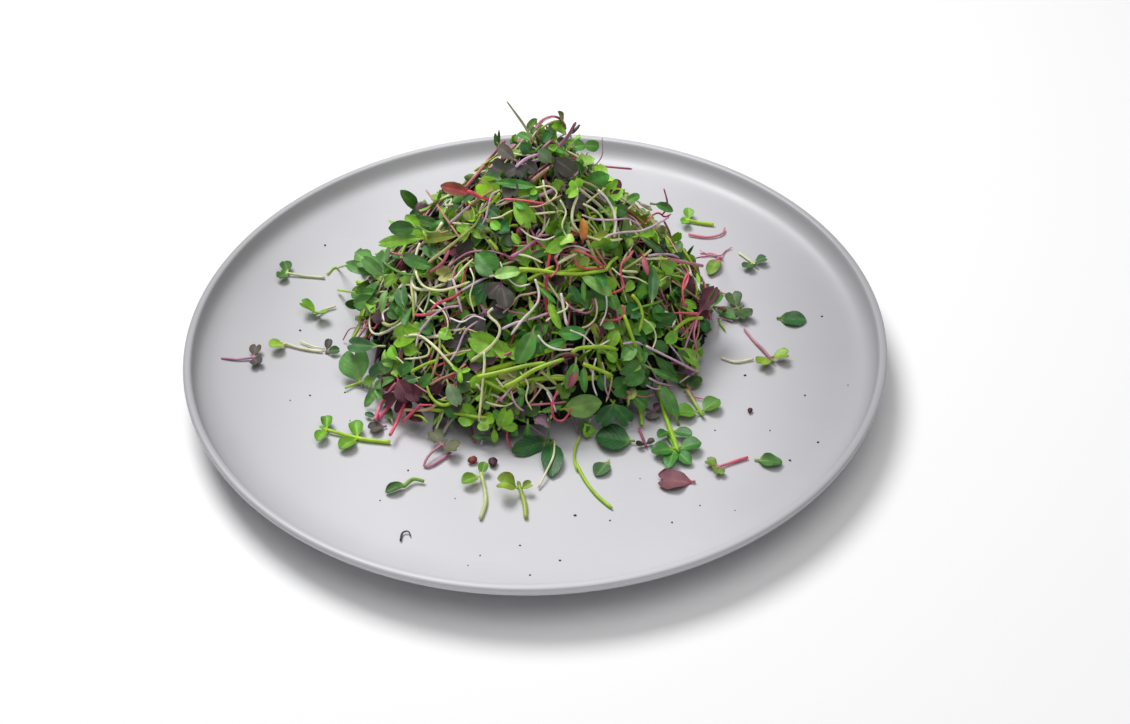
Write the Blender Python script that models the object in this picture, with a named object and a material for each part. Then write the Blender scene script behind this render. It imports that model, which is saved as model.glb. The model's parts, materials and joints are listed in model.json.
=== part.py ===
# A heap of cut mixed microgreens on a round shallow plate.
# Lengths in the tables below are millimetres; meshes are written in metres.
# +Z is up, the plate's foot stands on z = 0 and its axis is the Z axis.
import bpy
import math
from mathutils import Vector

MM = 0.001

# ---- driving dimensions (mm) ------------------------------------------------
PLATE_R = 135.0        # outer radius of the plate
PLATE_H = 19.0         # height of the lip above the table
FLOOR_Z = 10.0         # inner floor of the plate
UNDER_Z = 5.4          # underside of the plate's well
FOOT_R_OUT = 84.0      # foot ring
FOOT_R_IN = 78.0
PLATE_SEGMENTS = 80

HEAP_X, HEAP_Y = -3.0, 12.5    # centre of the heap on the plate
HEAP_R = 71.0                  # mean radius of its base
HEAP_H = 93.0                  # height of its packed middle above the floor
HEAP_LEAN = 5.7                # how far the top leans to +X
HEAP_SKIRT = 2.2               # height of its edge above the floor
HEAP_SEGMENTS = 56
HEAP_RINGS = 20
HEAP_DENT = 5.0                # depth of the hollows between clumps

GAP = 0.35             # clearance between a sprout and the plate's floor
CLEAR = 1.3            # clearance between a sprout and the heap
LEAF_EDGE = 0.34       # thickness of a leaf at its edge
LEAF_MID = 0.80        # and along its middle

# ---- materials --------------------------------------------------------------
COLOURS = {
    "plate_grey": ((0.585, 0.580, 0.610), 0.42),
    "heap_green": ((0.060, 0.145, 0.030), 0.65),
    "leaf_green": ((0.115, 0.290, 0.035), 0.50),
    "leaf_dark": ((0.040, 0.150, 0.050), 0.50),
    "leaf_grey_purple": ((0.105, 0.100, 0.098), 0.55),
    "leaf_purple": ((0.130, 0.030, 0.060), 0.50),
    "stem_lime": ((0.290, 0.500, 0.060), 0.45),
    "stem_pink": ((0.560, 0.170, 0.230), 0.45),
    "stem_cream": ((0.620, 0.640, 0.330), 0.45),
    "hull_brown": ((0.090, 0.030, 0.020), 0.60),
}


def make_materials():
    made = {}
    for name, (rgb, rough) in COLOURS.items():
        mat = bpy.data.materials.new(name)
        mat.use_nodes = True
        bsdf = mat.node_tree.nodes["Principled BSDF"]
        bsdf.inputs["Base Color"].default_value = (rgb[0], rgb[1], rgb[2], 1.0)
        bsdf.inputs["Roughness"].default_value = rough
        made[name] = mat
    return made


# ---- the heap's surface -----------------------------------------------------
def heap_edge(angle):
    return HEAP_R * (1 + 0.028 * math.cos(2 * angle) + 0.02 * math.cos(3 * angle))


def heap_rise(q):
    q = min(max(q, 0.0), 1.0)
    return HEAP_H * (1 - q ** 0.95) ** 0.784


def lumps(x, y):
    return (math.sin(x / 6.1 + 0.7) * math.cos(y / 7.3 - 0.4)
            + 0.6 * math.sin((x + y) / 9.7 + 1.9))


def heap_top(x, y):
    """Height of the heap above the plate's floor, or 0 outside it."""
    rise = 0.0
    q = 2.0
    for _ in range(24):
        dx = x - (HEAP_X + HEAP_LEAN * rise / HEAP_H)
        dy = y - HEAP_Y
        q = math.hypot(dx, dy) / heap_edge(math.atan2(dy, dx))
        rise = 0.5 * rise + 0.5 * heap_rise(q)
    if q >= 1.0:
        return 0.0
    soft = min(1.0, 5.0 * q) * min(1.0, 4.0 * (1 - q))
    return max(HEAP_SKIRT, rise + 1.5 * soft * lumps(x, y))


def hollow(x, y, z):
    """Depth of the hollows between clumps of leaves, 0 on their crowns."""
    a = math.sin(x / 3.3 + 1.3 * math.sin(z / 6.0)) * math.sin(y / 3.7 + 0.8)
    b = math.sin((x - y) / 4.9 + z / 4.4) * math.cos(z / 3.1 + x / 7.0)
    return HEAP_DENT * min(1.0, max(0.0, 0.5 - 0.42 * a - 0.38 * b))


def surface(x, y):
    """Height in mm of what lies below a sprout at (x, y)."""
    top = heap_top(x, y)
    if top <= 0.0:
        # the heap's edge is kept clear from a little way outside it
        for step in range(8):
            a = step * math.pi / 4
            if heap_top(x + 1.6 * math.cos(a), y + 1.6 * math.sin(a)) > 0.0:
                return FLOOR_Z + HEAP_SKIRT + CLEAR
        return FLOOR_Z + GAP
    return FLOOR_Z + top + CLEAR


def normal(x, y):
    e = 4.0
    dzx = (surface(x + e, y) - surface(x - e, y)) / (2 * e)
    dzy = (surface(x, y + e) - surface(x, y - e)) / (2 * e)
    return Vector((-dzx, -dzy, 1.0)).normalized()


# ---- closed shapes ----------------------------------------------------------
class Shape:
    def __init__(self):
        self.points = []
        self.faces = []

    def add(self, p):
        self.points.append(Vector(p))
        return len(self.points) - 1

    def ring(self, pts):
        """Add one cross-section, raised where it would touch what is below."""
        need = max(surface(p.x, p.y) - p.z for p in pts)
        up = Vector((0, 0, max(0.0, need)))
        return [self.add(p + up) for p in pts]

    def bridge(self, a, b):
        n = len(a)
        made = []
        for k in range(n):
            face = [a[k], a[(k + 1) % n], b[(k + 1) % n], b[k]]
            self.faces.append(face)
            made.append(face)
        return made

    def split(self, a, b):
        mid = self.add((self.points[a] + self.points[b]) / 2)
        for face in self.faces:
            n = len(face)
            for i in range(n):
                if {face[i], face[(i + 1) % n]} == {a, b}:
                    face.insert(i + 1, mid)
                    break
        return mid


def finish(name, shape, mat, smooth=True, scale=MM):
    mesh = bpy.data.meshes.new(name)
    mesh.from_pydata([tuple(p * scale) for p in shape.points], [], shape.faces)
    mesh.validate()
    import bmesh
    bm = bmesh.new()
    bm.from_mesh(mesh)
    bmesh.ops.recalc_face_normals(bm, faces=bm.faces)
    bmesh.ops.triangulate(bm, faces=bm.faces)
    bm.to_mesh(mesh)
    bm.free()
    if mesh.polygons:
        volume = 0.0
        for poly in mesh.polygons:
            a, b, c = (mesh.vertices[i].co for i in poly.vertices)
            volume += a.dot(b.cross(c)) / 6
        if volume < 0:
            mesh.flip_normals()
    mesh.polygons.foreach_set("use_smooth", [smooth] * len(mesh.polygons))
    mesh.materials.append(mat)
    obj = bpy.data.objects.new(name, mesh)
    bpy.context.scene.collection.objects.link(obj)
    return obj


# ---- paths ------------------------------------------------------------------
def spline(knots, samples=12):
    """Smooth curve through the knots."""
    pts = [knots[0] * 2 - knots[1]] + knots + [knots[-1] * 2 - knots[-2]]
    out = []
    for i in range(1, len(pts) - 2):
        p0, p1, p2, p3 = pts[i - 1:i + 3]
        for s in range(samples):
            t = s / samples
            out.append(0.5 * ((2 * p1) + (p2 - p0) * t + (2 * p0 - 5 * p1 + 4 * p2 - p3) * t * t
                              + (3 * p1 - 3 * p2 + p3 - p0) * t ** 3))
    out.append(knots[-1].copy())
    return out


def along(path, lengths, s):
    s = min(max(s, 0.0), lengths[-1])
    for i in range(len(path) - 1):
        if s <= lengths[i + 1]:
            span = lengths[i + 1] - lengths[i]
            t = (s - lengths[i]) / span if span > 0 else 0.0
            return path[i].lerp(path[i + 1], t)
    return path[-1].copy()


# outline of each kind of leaf: (distance along it, width, how far the middle is pulled back)
OUTLINES = {
    "heart": [(0.14, 0.16, 0), (0.34, 0.80, 0), (0.62, 1.00, 0), (0.88, 0.86, 0.06), (1.0, 0.55, 0.20)],
    "oval": [(0.12, 0.16, 0), (0.34, 0.74, 0), (0.60, 1.00, 0), (0.85, 0.72, 0), (1.0, 0.22, -0.03)],
    "long": [(0.10, 0.30, 0), (0.35, 0.80, 0), (0.65, 1.00, 0), (1.0, 0.30, -0.05)],
    "small": [(0.15, 0.30, 0), (0.50, 1.00, 0), (1.0, 0.40, 0.05)],
}


def grow_leaf(shape, base, start, axis, wide, up, side, length, width, rise0, rise1, kind, cup):
    """Extend a leaf from the six points of its base.

    axis runs out along the leaf, wide is the direction of its width at the
    base and up is its upper side. rise0 and rise1 are the slopes at the base
    and at the tip.
    """
    previous = base
    centre = start.copy()
    done = 0.0
    for frac, w, notch in OUTLINES[kind]:
        slope = rise0 + (rise1 - rise0) * frac
        run = (axis + up * slope).normalized()
        centre = centre + run * ((frac - done) * length)
        done = frac
        top = (up - run * up.dot(run)).normalized()
        across = (top.cross(run)).normalized()
        if across.dot(wide) < 0:
            across = -across
        half = 0.5 * w * width
        bend = cup * half
        back = run * (notch * length)
        edge, mid = LEAF_EDGE / 2, LEAF_MID / 2
        pts = [centre - across * half + top * (bend - edge), centre - back - top * mid,
               centre + across * half + top * (bend - edge), centre + across * half + top * (bend + edge),
               centre - back + top * mid, centre - across * half + top * (bend + edge)]
        new = shape.ring(pts)
        # the middle of a raised section keeps the leaf's own path
        centre = centre + (shape.points[new[0]] - pts[0])
        shape.bridge(previous, new)
        previous = new
    a = previous
    shape.faces.append([a[0], a[1], a[4], a[5]])
    shape.faces.append([a[1], a[2], a[3], a[4]])


def sprout(name, mat, knots, r0, r1, hubs=(), pitch=7.0):
    """A stem through the knots (x, y, lift) with leaves at its hubs.

    A hub is (distance from the end, leaves); a leaf is (side, length, width,
    angle toward the stem's end, rise at base, rise at tip, kind, cup).
    """
    shape = Shape()
    r_big = max(r0, r1)
    path = spline([Vector((x, y, surface(x, y) + r_big + lift)) for x, y, lift in knots])
    lengths = [0.0]
    for a, b in zip(path, path[1:]):
        lengths.append(lengths[-1] + (b - a).length)
    total = lengths[-1]
    half = 0.95
    marks = []
    stops = []
    for back, leaves in hubs:
        s = total - back
        marks.append((s - half, s + half, leaves))
        stops += [s - half, s + half]
    count = max(3, int(round(total / pitch)))
    for i in range(count + 1):
        s = total * i / count
        if i in (0, count) or all(abs(s - (a + b) / 2) > half + 1.2 for a, b, _ in marks):
            stops.append(s)
    stops = sorted(stops)
    rings = []
    frames = []
    for s in stops:
        c = along(path, lengths, s)
        ahead = along(path, lengths, s + 0.8) - along(path, lengths, s - 0.8)
        d = ahead.normalized()
        up = normal(c.x, c.y)
        if abs(d.dot(up)) > 0.93:
            up = Vector((0, -1, 0)) if abs(d.y) < 0.8 else Vector((1, 0, 0))
        up = (up - d * up.dot(d)).normalized()
        right = d.cross(up).normalized()
        r = r0 + (r1 - r0) * s / total
        if s == stops[-1]:
            r *= 0.62
        pts = [c + (right * math.cos(math.radians(30 + 60 * k)) + up * math.sin(math.radians(30 + 60 * k))) * r
               for k in range(6)]
        rings.append(shape.ring(pts))
        frames.append((c, d, up, right, r))
    sides = []
    for a, b in zip(rings, rings[1:]):
        sides.append(shape.bridge(a, b))
    shape.faces.append(list(reversed(rings[0])))
    shape.faces.append(list(rings[-1]))
    for s0, s1, leaves in marks:
        i = stops.index(s0)
        for side, length, width, angle, rise0, rise1, kind, cup in leaves:
            lower, upper = (5, 0) if side > 0 else (3, 2)
            face = sides[i][5 if side > 0 else 2]
            low_mid = shape.split(rings[i][lower], rings[i + 1][lower])
            top_mid = shape.split(rings[i][upper], rings[i + 1][upper])
            shape.faces = [f for f in shape.faces if f is not face]
            base = [rings[i][lower], low_mid, rings[i + 1][lower], rings[i + 1][upper], top_mid, rings[i][upper]]
            c, d, up, right, r = frames[i]
            c2, d2, up2, right2, r2 = frames[i + 1]
            mid = sum((shape.points[j] for j in base), Vector()) / 6
            t = math.radians(angle)
            axis = (right * side) * math.cos(t) + d * math.sin(t)
            wide = d * math.cos(t) - (right * side) * math.sin(t)
            grow_leaf(shape, base, mid, axis, wide, up, side, length, width, rise0, rise1, kind, cup)
    return finish(name, shape, mat)


def leaf(name, mat, x, y, heading, length, width, lift=0.0, rise0=0.0, rise1=0.0, kind="oval", cup=0.1, tilt=0.0):
    """One fallen leaf: (x, y) is the foot of its stalk, heading its direction."""
    shape = Shape()
    a = math.radians(heading)
    up = normal(x + 4 * math.cos(a), y + 4 * math.sin(a))
    axis = Vector((math.cos(a), math.sin(a), 0))
    axis = (axis - up * axis.dot(up)).normalized()
    across = up.cross(axis).normalized()
    up = (up * math.cos(math.radians(tilt)) + across * math.sin(math.radians(tilt))).normalized()
    across = up.cross(axis).normalized()
    c = Vector((x, y, surface(x, y) + LEAF_MID / 2 + lift))
    w, t = 0.5, 0.35
    pts = [c - across * w - up * t * 0.7, c - up * t, c + across * w - up * t * 0.7,
           c + across * w + up * t * 0.7, c + up * t, c - across * w + up * t * 0.7]
    base = shape.ring(pts)
    shape.faces.append([base[0], base[1], base[4], base[5]])
    shape.faces.append([base[1], base[2], base[3], base[4]])
    grow_leaf(shape, base, c, axis, across, up, 1, length, width, rise0, rise1, kind, cup)
    return finish(name, shape, mat)


def seed(name, mat, x, y, long_r, wide_r, high_r, heading):
    """A seed or an empty hull lying on the plate."""
    shape = Shape()
    a = math.radians(heading)
    ca, sa = math.cos(a), math.sin(a)
    z0 = surface(x, y) + high_r
    rings = []
    for lat in (-58, -20, 20, 58):
        t = math.radians(lat)
        ring = []
        for k in range(8):
            p = 2 * math.pi * k / 8
            u = long_r * math.cos(t) * math.cos(p) * (1 + 0.12 * math.cos(p))
            v = wide_r * math.cos(t) * math.sin(p)
            ring.append(shape.add((x + u * ca - v * sa, y + u * sa + v * ca, z0 + high_r * math.sin(t))))
        rings.append(ring)
    for a0, b0 in zip(rings, rings[1:]):
        shape.bridge(a0, b0)
    shape.faces.append(list(reversed(rings[0])))
    shape.faces.append(list(rings[-1]))
    return finish(name, shape, mat)


# ---- plate ------------------------------------------------------------------
def plate(mat):
    profile = [
        (0.0, FLOOR_Z),
        (62.0, FLOOR_Z),
        (114.0, FLOOR_Z), (118.0, FLOOR_Z + 0.06), (121.5, FLOOR_Z + 0.26), (124.5, FLOOR_Z + 0.66),
        (126.9, FLOOR_Z + 1.3), (128.8, FLOOR_Z + 2.25), (130.1, FLOOR_Z + 3.5), (131.0, FLOOR_Z + 5.1),
        (131.5, FLOOR_Z + 6.8), (131.8, PLATE_H - 0.8), (132.1, PLATE_H - 0.22), (132.6, PLATE_H),
        (PLATE_R - 1.1, PLATE_H), (PLATE_R - 0.5, PLATE_H - 0.15), (PLATE_R - 0.12, PLATE_H - 0.5),
        (PLATE_R, PLATE_H - 1.1), (PLATE_R - 0.4, PLATE_H - 3.0), (PLATE_R - 1.2, PLATE_H - 4.2),
        (132.2, 13.0), (129.4, 10.6), (125.0, 8.2), (118.0, 6.4), (108.0, UNDER_Z),
        (FOOT_R_OUT + 3.2, UNDER_Z), (FOOT_R_OUT + 0.6, UNDER_Z - 2.2), (FOOT_R_OUT, 0.5), (FOOT_R_OUT - 0.6, 0.0),
        (FOOT_R_IN + 0.6, 0.0), (FOOT_R_IN, 0.5), (FOOT_R_IN - 0.8, UNDER_Z - 1.6), (FOOT_R_IN - 2.8, UNDER_Z),
        (0.0, UNDER_Z),
    ]
    shape = Shape()
    first = shape.add((0, 0, profile[0][1]))
    last = shape.add((0, 0, profile[-1][1]))
    rings = []
    for r, z in profile[1:-1]:
        rings.append([shape.add((r * math.cos(2 * math.pi * k / PLATE_SEGMENTS),
                                 r * math.sin(2 * math.pi * k / PLATE_SEGMENTS), z))
                      for k in range(PLATE_SEGMENTS)])
    for a, b in zip(rings, rings[1:]):
        shape.bridge(a, b)
    for k in range(PLATE_SEGMENTS):
        j = (k + 1) % PLATE_SEGMENTS
        shape.faces.append([first, rings[0][k], rings[0][j]])
        shape.faces.append([last, rings[-1][j], rings[-1][k]])
    return finish("plate", shape, mat)


# ---- the packed middle of the heap ------------------------------------------
def heap(mat):
    shape = Shape()
    base_z = FLOOR_Z + GAP
    rings = []
    bottom = []
    for k in range(HEAP_SEGMENTS):
        a = 2 * math.pi * k / HEAP_SEGMENTS
        r = heap_edge(a) * 0.985
        bottom.append(shape.add((HEAP_X + r * math.cos(a), HEAP_Y + r * math.sin(a), base_z)))
    rings.append(bottom)
    for i in range(HEAP_RINGS):
        q = 1.0 - (i / (HEAP_RINGS - 0.35)) ** 0.9
        ring = []
        for k in range(HEAP_SEGMENTS):
            a = 2 * math.pi * k / HEAP_SEGMENTS
            rise = heap_rise(q)
            r = heap_edge(a) * q
            x = HEAP_X + HEAP_LEAN * rise / HEAP_H + r * math.cos(a)
            y = HEAP_Y + r * math.sin(a)
            top = heap_top(x, y) if q < 1.0 else HEAP_SKIRT
            if q < 1.0:
                # the hollows are cut toward the heap's axis
                deep = hollow(x, y, top) * min(1.0, 6.0 * (1 - q))
                x -= 0.6 * deep * math.cos(a)
                y -= 0.6 * deep * math.sin(a)
                top -= 0.6 * deep
            ring.append(shape.add((x, y, FLOOR_Z + max(top, HEAP_SKIRT))))
        rings.append(ring)
    for a, b in zip(rings, rings[1:]):
        shape.bridge(a, b)
    tip = shape.add((HEAP_X + HEAP_LEAN, HEAP_Y, FLOOR_Z + HEAP_H - 1.0))
    foot = shape.add((HEAP_X, HEAP_Y, base_z))
    for k in range(HEAP_SEGMENTS):
        j = (k + 1) % HEAP_SEGMENTS
        shape.faces.append([rings[-1][k], rings[-1][j], tip])
        shape.faces.append([rings[0][j], rings[0][k], foot])
    return finish("sprout_heap", shape, mat)


def pair(length, width, angle=25, rise0=0.3, rise1=0.1, kind="heart", cup=0.15, end=1.9):
    """Two seed leaves facing each other near the end of a stem."""
    return (end, [(1, length, width, angle, rise0, rise1, kind, cup),
                  (-1, length * 0.94, width * 0.95, angle - 4, rise0 * 1.2, rise1, kind, cup)])


def one(side, length, width, angle=20, rise0=0.2, rise1=0.0, kind="oval", cup=0.12, end=1.9):
    """A single leaf on one side of a stem."""
    return (end, [(side, length, width, angle, rise0, rise1, kind, cup)])


def build():
    for obj in list(bpy.data.objects):
        bpy.data.objects.remove(obj, do_unlink=True)
    m = make_materials()
    plate(m["plate_grey"])
    heap(m["heap_green"])

    # --- sprouts lying free on the plate, left side ---
    sprout("sprout_far_left", m["leaf_dark"], [(-86, 45, 0), (-95, 46.5, 0), (-103, 48, 0.8)], 0.6, 0.55,
           [pair(6.5, 5.5, 30, kind="small")])
    sprout("sprout_left_curled", m["leaf_green"], [(-80, 26, 0.3), (-84, 24, 0.2), (-88, 20, 1.0)], 0.6, 0.7,
           [pair(8, 6.5, 30, 0.8, 0.2)])
    sprout("sprout_left_purple", m["leaf_grey_purple"], [(-122, -4, 0), (-115, -5, 0), (-107.5, -4.5, 0.6)], 0.5, 0.6,
           [pair(6.5, 5.5, 20, kind="heart")])
    sprout("sprout_left_pale", m["stem_cream"], [(-83, -1.5, 0), (-91, 0.5, 0), (-99, 4, 0.4)], 0.6, 0.6,
           [one(-1, 8, 6.5, 30, 0.6, 0.2)])
    leaf("leaf_heart_left", m["leaf_dark"], -66, -8, 250, 15, 15, 1.0, 0.1, -0.1, "heart", 0.05)
    sprout("pea_shoot_left", m["stem_lime"], [(-53.5, -54, 0), (-64, -52, 0), (-72, -49, 0.2), (-79, -46.5, 0.6)],
           1.15, 0.9,
           [pair(9, 7.5, 15, 0.5, 0.1, "oval"),
            (14.5, [(1, 8, 7, 20, 0.4, 0.1, "oval", 0.2), (-1, 10, 7.5, -25, 0.5, 0.1, "oval", 0.2)])])
    leaf("bud_left", m["leaf_grey_purple"], -55.5, -45.0, 205, 7, 6, 0.2, 0.3, 0.0, "heart", 0.2)

    # --- front ---
    sprout("leaf_curled_front", m["leaf_dark"], [(-40, -75, 0.2), (-44, -74.5, 0.8), (-47.5, -78, 0.4)], 0.6, 0.8,
           [one(1, 8, 5, 35, 0.2, -0.2, "long")])
    sprout("root_wisp", m["hull_brown"], [(-47, -103.5, 0), (-46.5, -100, 0.2), (-44.5, -99.5, 0.4), (-43.5, -101.5, 0)],
           0.42, 0.28, [], 2.5)
    sprout("sprout_pink_loop", m["stem_pink"], [(-31, -60, 0.2), (-37, -66, 0), (-40.5, -67, 0), (-38.5, -62.5, 1.8),
                                                (-33, -57, 2.6)], 0.55, 0.55,
           [pair(7.5, 6.5, 20, 0.3, 0.1)], 4.0)
    seed("hull_red", m["hull_brown"], -23, -64.5, 1.9, 1.6, 1.2, 30)
    seed("hull_dark", m["hull_brown"], -15.5, -66.0, 2.2, 1.7, 1.3, 100)
    sprout("sprout_arrow_front", m["leaf_green"], [(-19.5, -94, 0), (-17.8, -86, 0), (-18.5, -78, 0.6), (-20, -71.5, 1.2)],
           0.75, 0.7, [pair(8.5, 7, 5, 0.2, 0.0, "oval")])
    sprout("sprout_folded_front", m["leaf_green"], [(-3.5, -94, 0), (-4, -87, 0.4), (-6, -79.5, 2.0)], 0.85, 0.85,
           [pair(9, 8, -8, 0.9, -0.3)])
    sprout("stem_pale_front", m["stem_cream"], [(1.0, -79, 0.2), (3.5, -73.5, 1.7), (6.5, -65, 2.2), (7, -57.5, 3.0)],
           0.5, 0.42, [])
    leaf("leaf_oval_front_a", m["leaf_dark"], -9.5, -60.5, 356, 10.5, 9.0, 0.0, 0.05, 0.0, "oval", 0.08)
    leaf("leaf_oval_front_b", m["leaf_dark"], 6.3, -58.5, 271, 14.5, 8.6, 0.0, 0.1, 0.0, "oval", 0.08)
    sprout("stem_lime_front", m["stem_lime"], [(14.5, -66.5, 0.2), (17.5, -75, 0), (21.5, -83, 0), (27, -90, 0)],
           1.0, 1.0, [])

    # --- front right ---
    leaf("leaf_round_front_right", m["leaf_dark"], 36.2, -56.5, 172, 14.5, 13.5, 0.8, 0.2, -0.05, "oval", 0.06)
    leaf("leaf_grey_front_right", m["leaf_dark"], 26.5, -65.5, 240, 9.5, 7, 0.0, 0.1, 0.0, "oval", 0.15)
    sprout("sprout_hull_right", m["stem_pink"], [(38.3, -49.5, 0.4), (39.4, -54.5, 0.2), (40.6, -59.5, 0.4)], 0.6, 0.55,
           [pair(4.0, 3.4, 10, 0.5, 0.2, "small")])
    sprout("pea_chain_right", m["stem_lime"], [(46, -35, 2.4), (48, -43, 1.6), (50, -53, 0.8), (51.8, -63, 0.8)],
           0.95, 0.95,
           [pair(9.5, 8, 5, 0.2, 0.0, "oval"),
            (11.5, [(1, 6.5, 5, 30, 0.3, 0.0, "oval", 0.2), (-1, 8.5, 6, 40, 0.3, 0.0, "oval", 0.2)])])
    sprout("sprout_bright_right", m["leaf_green"], [(57, -31, 2.4), (59.5, -36, 0.8), (62, -43, 0.4)], 0.7, 0.7,
           [pair(9.5, 8, -10, 0.3, 0.0, "oval")])
    leaf("leaf_purple_right", m["leaf_purple"], 57, -77.5, 176, 13.5, 10.5, 0.0, 0.1, 0.0, "heart", 0.12)
    sprout("sprout_small_right", m["stem_pink"], [(77, -65.5, 0), (71, -68, 0), (64.5, -71, 0.2)], 0.6, 0.5,
           [pair(5.5, 4.8, 35, 0.3, 0.0)])
    leaf("leaf_bit_right", m["leaf_dark"], 79.5, -66.5, 342, 10, 7, 0.0, 0.2, -0.1, "oval", 0.2)
    sprout("sprout_right", m["leaf_green"], [(82, 7, 0), (85, 0, 0), (88.5, -7, 0.5), (91, -13, 0.6)], 0.55, 0.6,
           [pair(8, 6.5, 30, 0.5, 0.0)])
    leaf("leaf_oval_right", m["leaf_dark"], 95.5, 13.5, 352, 11.5, 9.5, 0.0, 0.0, 0.0, "oval", 0.06)
    seed("seed_right", m["hull_brown"], 80, -40.5, 1.2, 0.95, 0.8, 70)

    # --- back right ---
    sprout("sprout_back_right", m["leaf_dark"], [(84, 56, 0), (87, 52, 0), (90, 47, 0.5)], 0.5, 0.5,
           [pair(6.5, 5.5, 25, 0.4, 0.0)])
    sprout("sprout_back_long", m["leaf_green"], [(68, 55, 0.8), (73, 55, 0.2), (77, 52, 0.2)], 0.55, 0.6,
           [one(1, 13, 6, 20, 0.1, 0.0, "long")])
    sprout("stem_pink_back", m["stem_pink"], [(64, 69, 0.2), (72, 67, 0), (78, 69, 0.2), (79.5, 73, 0.4)], 0.6, 0.5, [])
    sprout("pea_shoot_back", m["stem_lime"], [(75, 75.5, 0), (69, 77, 0), (63, 79, 0.4)], 0.8, 0.75,
           [pair(6.5, 5, 20, 0.5, 0.1, "oval")])
    sprout("sprout_edge_right", m["leaf_dark"], [(72.5, 15.5, 0.8), (77, 18, 0.4), (82, 19.5, 0.6)], 0.7, 0.7,
           [pair(9, 7.5, 10, 0.4, 0.0)])
    sprout("stem_pale_right", m["stem_cream"], [(71.5, -10, 0.2), (77, -12.5, 0), (84, -11, 0)], 0.5, 0.55, [])

    # --- sprouts that stand out on the heap ---
    sprout("spike_top", m["stem_cream"], [(1.5, 8, 0.4), (-1.5, 8.5, 8.0), (-7.5, 9, 23.5)], 0.75, 0.4, [])
    sprout("stem_purple_top", m["stem_pink"], [(10, 9, 1.0), (13.5, 9.5, 9.0), (17, 10, 20.0)], 0.75, 0.5,
           [(6.0, [(1, 5.5, 3.2, 55, 0.2, 0.1, "long", 0.2)])])
    sprout("leaf_red_top_left", m["leaf_purple"], [(-13.5, -1.8, 0.3), (-18.1, -0.8, 4.5), (-22.8, 0.2, 10.0)], 0.9, 0.9,
           [one(-1, 10.5, 4.6, 74, 0.1, -0.1, "long")])
    sprout("pair_grey_top", m["leaf_grey_purple"], [(5, 3.5, 1.2), (-2, 2.5, 0.6), (-8.5, 1.5, 0.6)], 0.6, 0.65,
           [pair(9.5, 8, 25, 0.2, 0.0)])
    sprout("pair_grey_top_right", m["leaf_grey_purple"], [(3, -5.5, 0.4), (8.5, -3.0, 0.4), (13.5, 0.5, 0.8)], 0.7, 0.7,
           [pair(11, 9, 15, 0.2, 0.0)])
    sprout("leaf_left_edge", m["leaf_dark"], [(-33, 0, 1.0), (-38.5, 2, 5.0), (-43, 4.5, 12.0)], 0.7, 0.7,
           [one(-1, 11.5, 6.5, 55, 0.3, 0.1)])
    sprout("stem_brown_left", m["stem_pink"], [(-25, -10, 0.8), (-30, -6.5, 2.0), (-35, -2, 7.5)], 0.6, 0.5, [])
    sprout("sprout_lobed_left", m["leaf_green"], [(-48, -1, 1.2), (-54, 5, 1.4), (-59, 9.5, 1.6)], 0.8, 0.8,
           [pair(13, 10.5, 20, 0.2, 0.0)])
    sprout("stem_cream_curl", m["stem_cream"], [(-33, 4, 1.0), (-40.5, -1, 0.6), (-45, -9, 0.5), (-38, -15.5, 0.6),
                                                (-26, -17.5, 0.7)], 0.75, 0.7, [])
    sprout("pea_stem_mid", m["stem_lime"], [(29, -15.5, 0.8), (18, -20.0, 0.7), (6, -22.0, 0.8), (-3, -21.5, 0.8)],
           0.95, 0.85, [pair(9.0, 6.5, 35, 0.2, 0.0, "oval")])
    sprout("pair_grey_mid", m["leaf_grey_purple"], [(-23.5, -22, 0.8), (-20, -26.5, 0.8), (-16.5, -31.0, 0.9)], 0.6, 0.65,
           [pair(9.5, 8, 30, 0.2, 0.0)])
    sprout("stem_red_mid", m["stem_pink"], [(5.5, -32, 0.6), (5, -28, 1.8), (6, -22, 5.0), (9, -15.5, 3.8), (17, -11.5, 1.2), (27, -9.5, 0.8)],
           0.6, 0.55, [])
    leaf("leaf_pea_mid", m["leaf_dark"], 15, -26.5, 345, 14.5, 8.5, 0.4, 0.1, 0.0, "oval", 0.15)
    sprout("stem_cream_top", m["stem_cream"], [(16, 2.5, 0.6), (26, 2.5, 1.4), (31.5, -0.5, 1.2), (32, -5.5, 0.8)], 0.65, 0.6, [])
    leaf("leaf_pea_right", m["leaf_dark"], 44.5, -3, 272, 17.5, 7.5, 0.4, 0.1, 0.0, "long", 0.15)
    sprout("pea_stem_front", m["stem_lime"], [(-21, -43.5, 0.9), (-9, -42.5, 0.8), (3, -40.5, 0.8), (12, -37.5, 0.8)],
           1.05, 1.0, [])
    sprout("pea_stem_front_low", m["stem_lime"], [(-10, -48, 0.8), (1, -46, 0.8), (12, -44.5, 0.8), (28, -40.5, 0.9)],
           1.0, 0.95, [])
    leaf("leaf_heart_front", m["leaf_green"], 9, -50.5, 12, 16, 9.5, 0.3, 0.1, 0.0, "oval", 0.12)
    sprout("sprout_purple_left", m["leaf_purple"], [(-59, -42, 0.2), (-54.5, -39, 0.8), (-50, -36.5, 1.0)], 0.8, 0.8,
           [pair(9, 8, 15, 0.2, 0.0)])
    sprout("stem_cream_left", m["stem_cream"], [(-27, -36.5, 0.6), (-34, -31.5, 0.6), (-44, -27, 0.6)], 0.7, 0.65,
           [pair(6, 5, 30, 0.1, 0.0)])
    sprout("sprout_clover_right", m["leaf_dark"], [(30.5, -30, 0.8), (33.5, -34, 0.8), (36.0, -39.5, 0.8)], 0.7, 0.7,
           [pair(8.5, 8.5, 5, 0.1, 0.0)])
    sprout("sprout_burgundy_right", m["leaf_purple"], [(55, -8, 0.8), (59, -4, 0.8), (62, 1, 0.8)], 0.7, 0.7,
           [pair(8.5, 7, 20, 0.2, 0.0)])


build()
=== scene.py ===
# Looks of a heap of cut mixed microgreens on a round shallow plate.
import json
import math
import random

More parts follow.
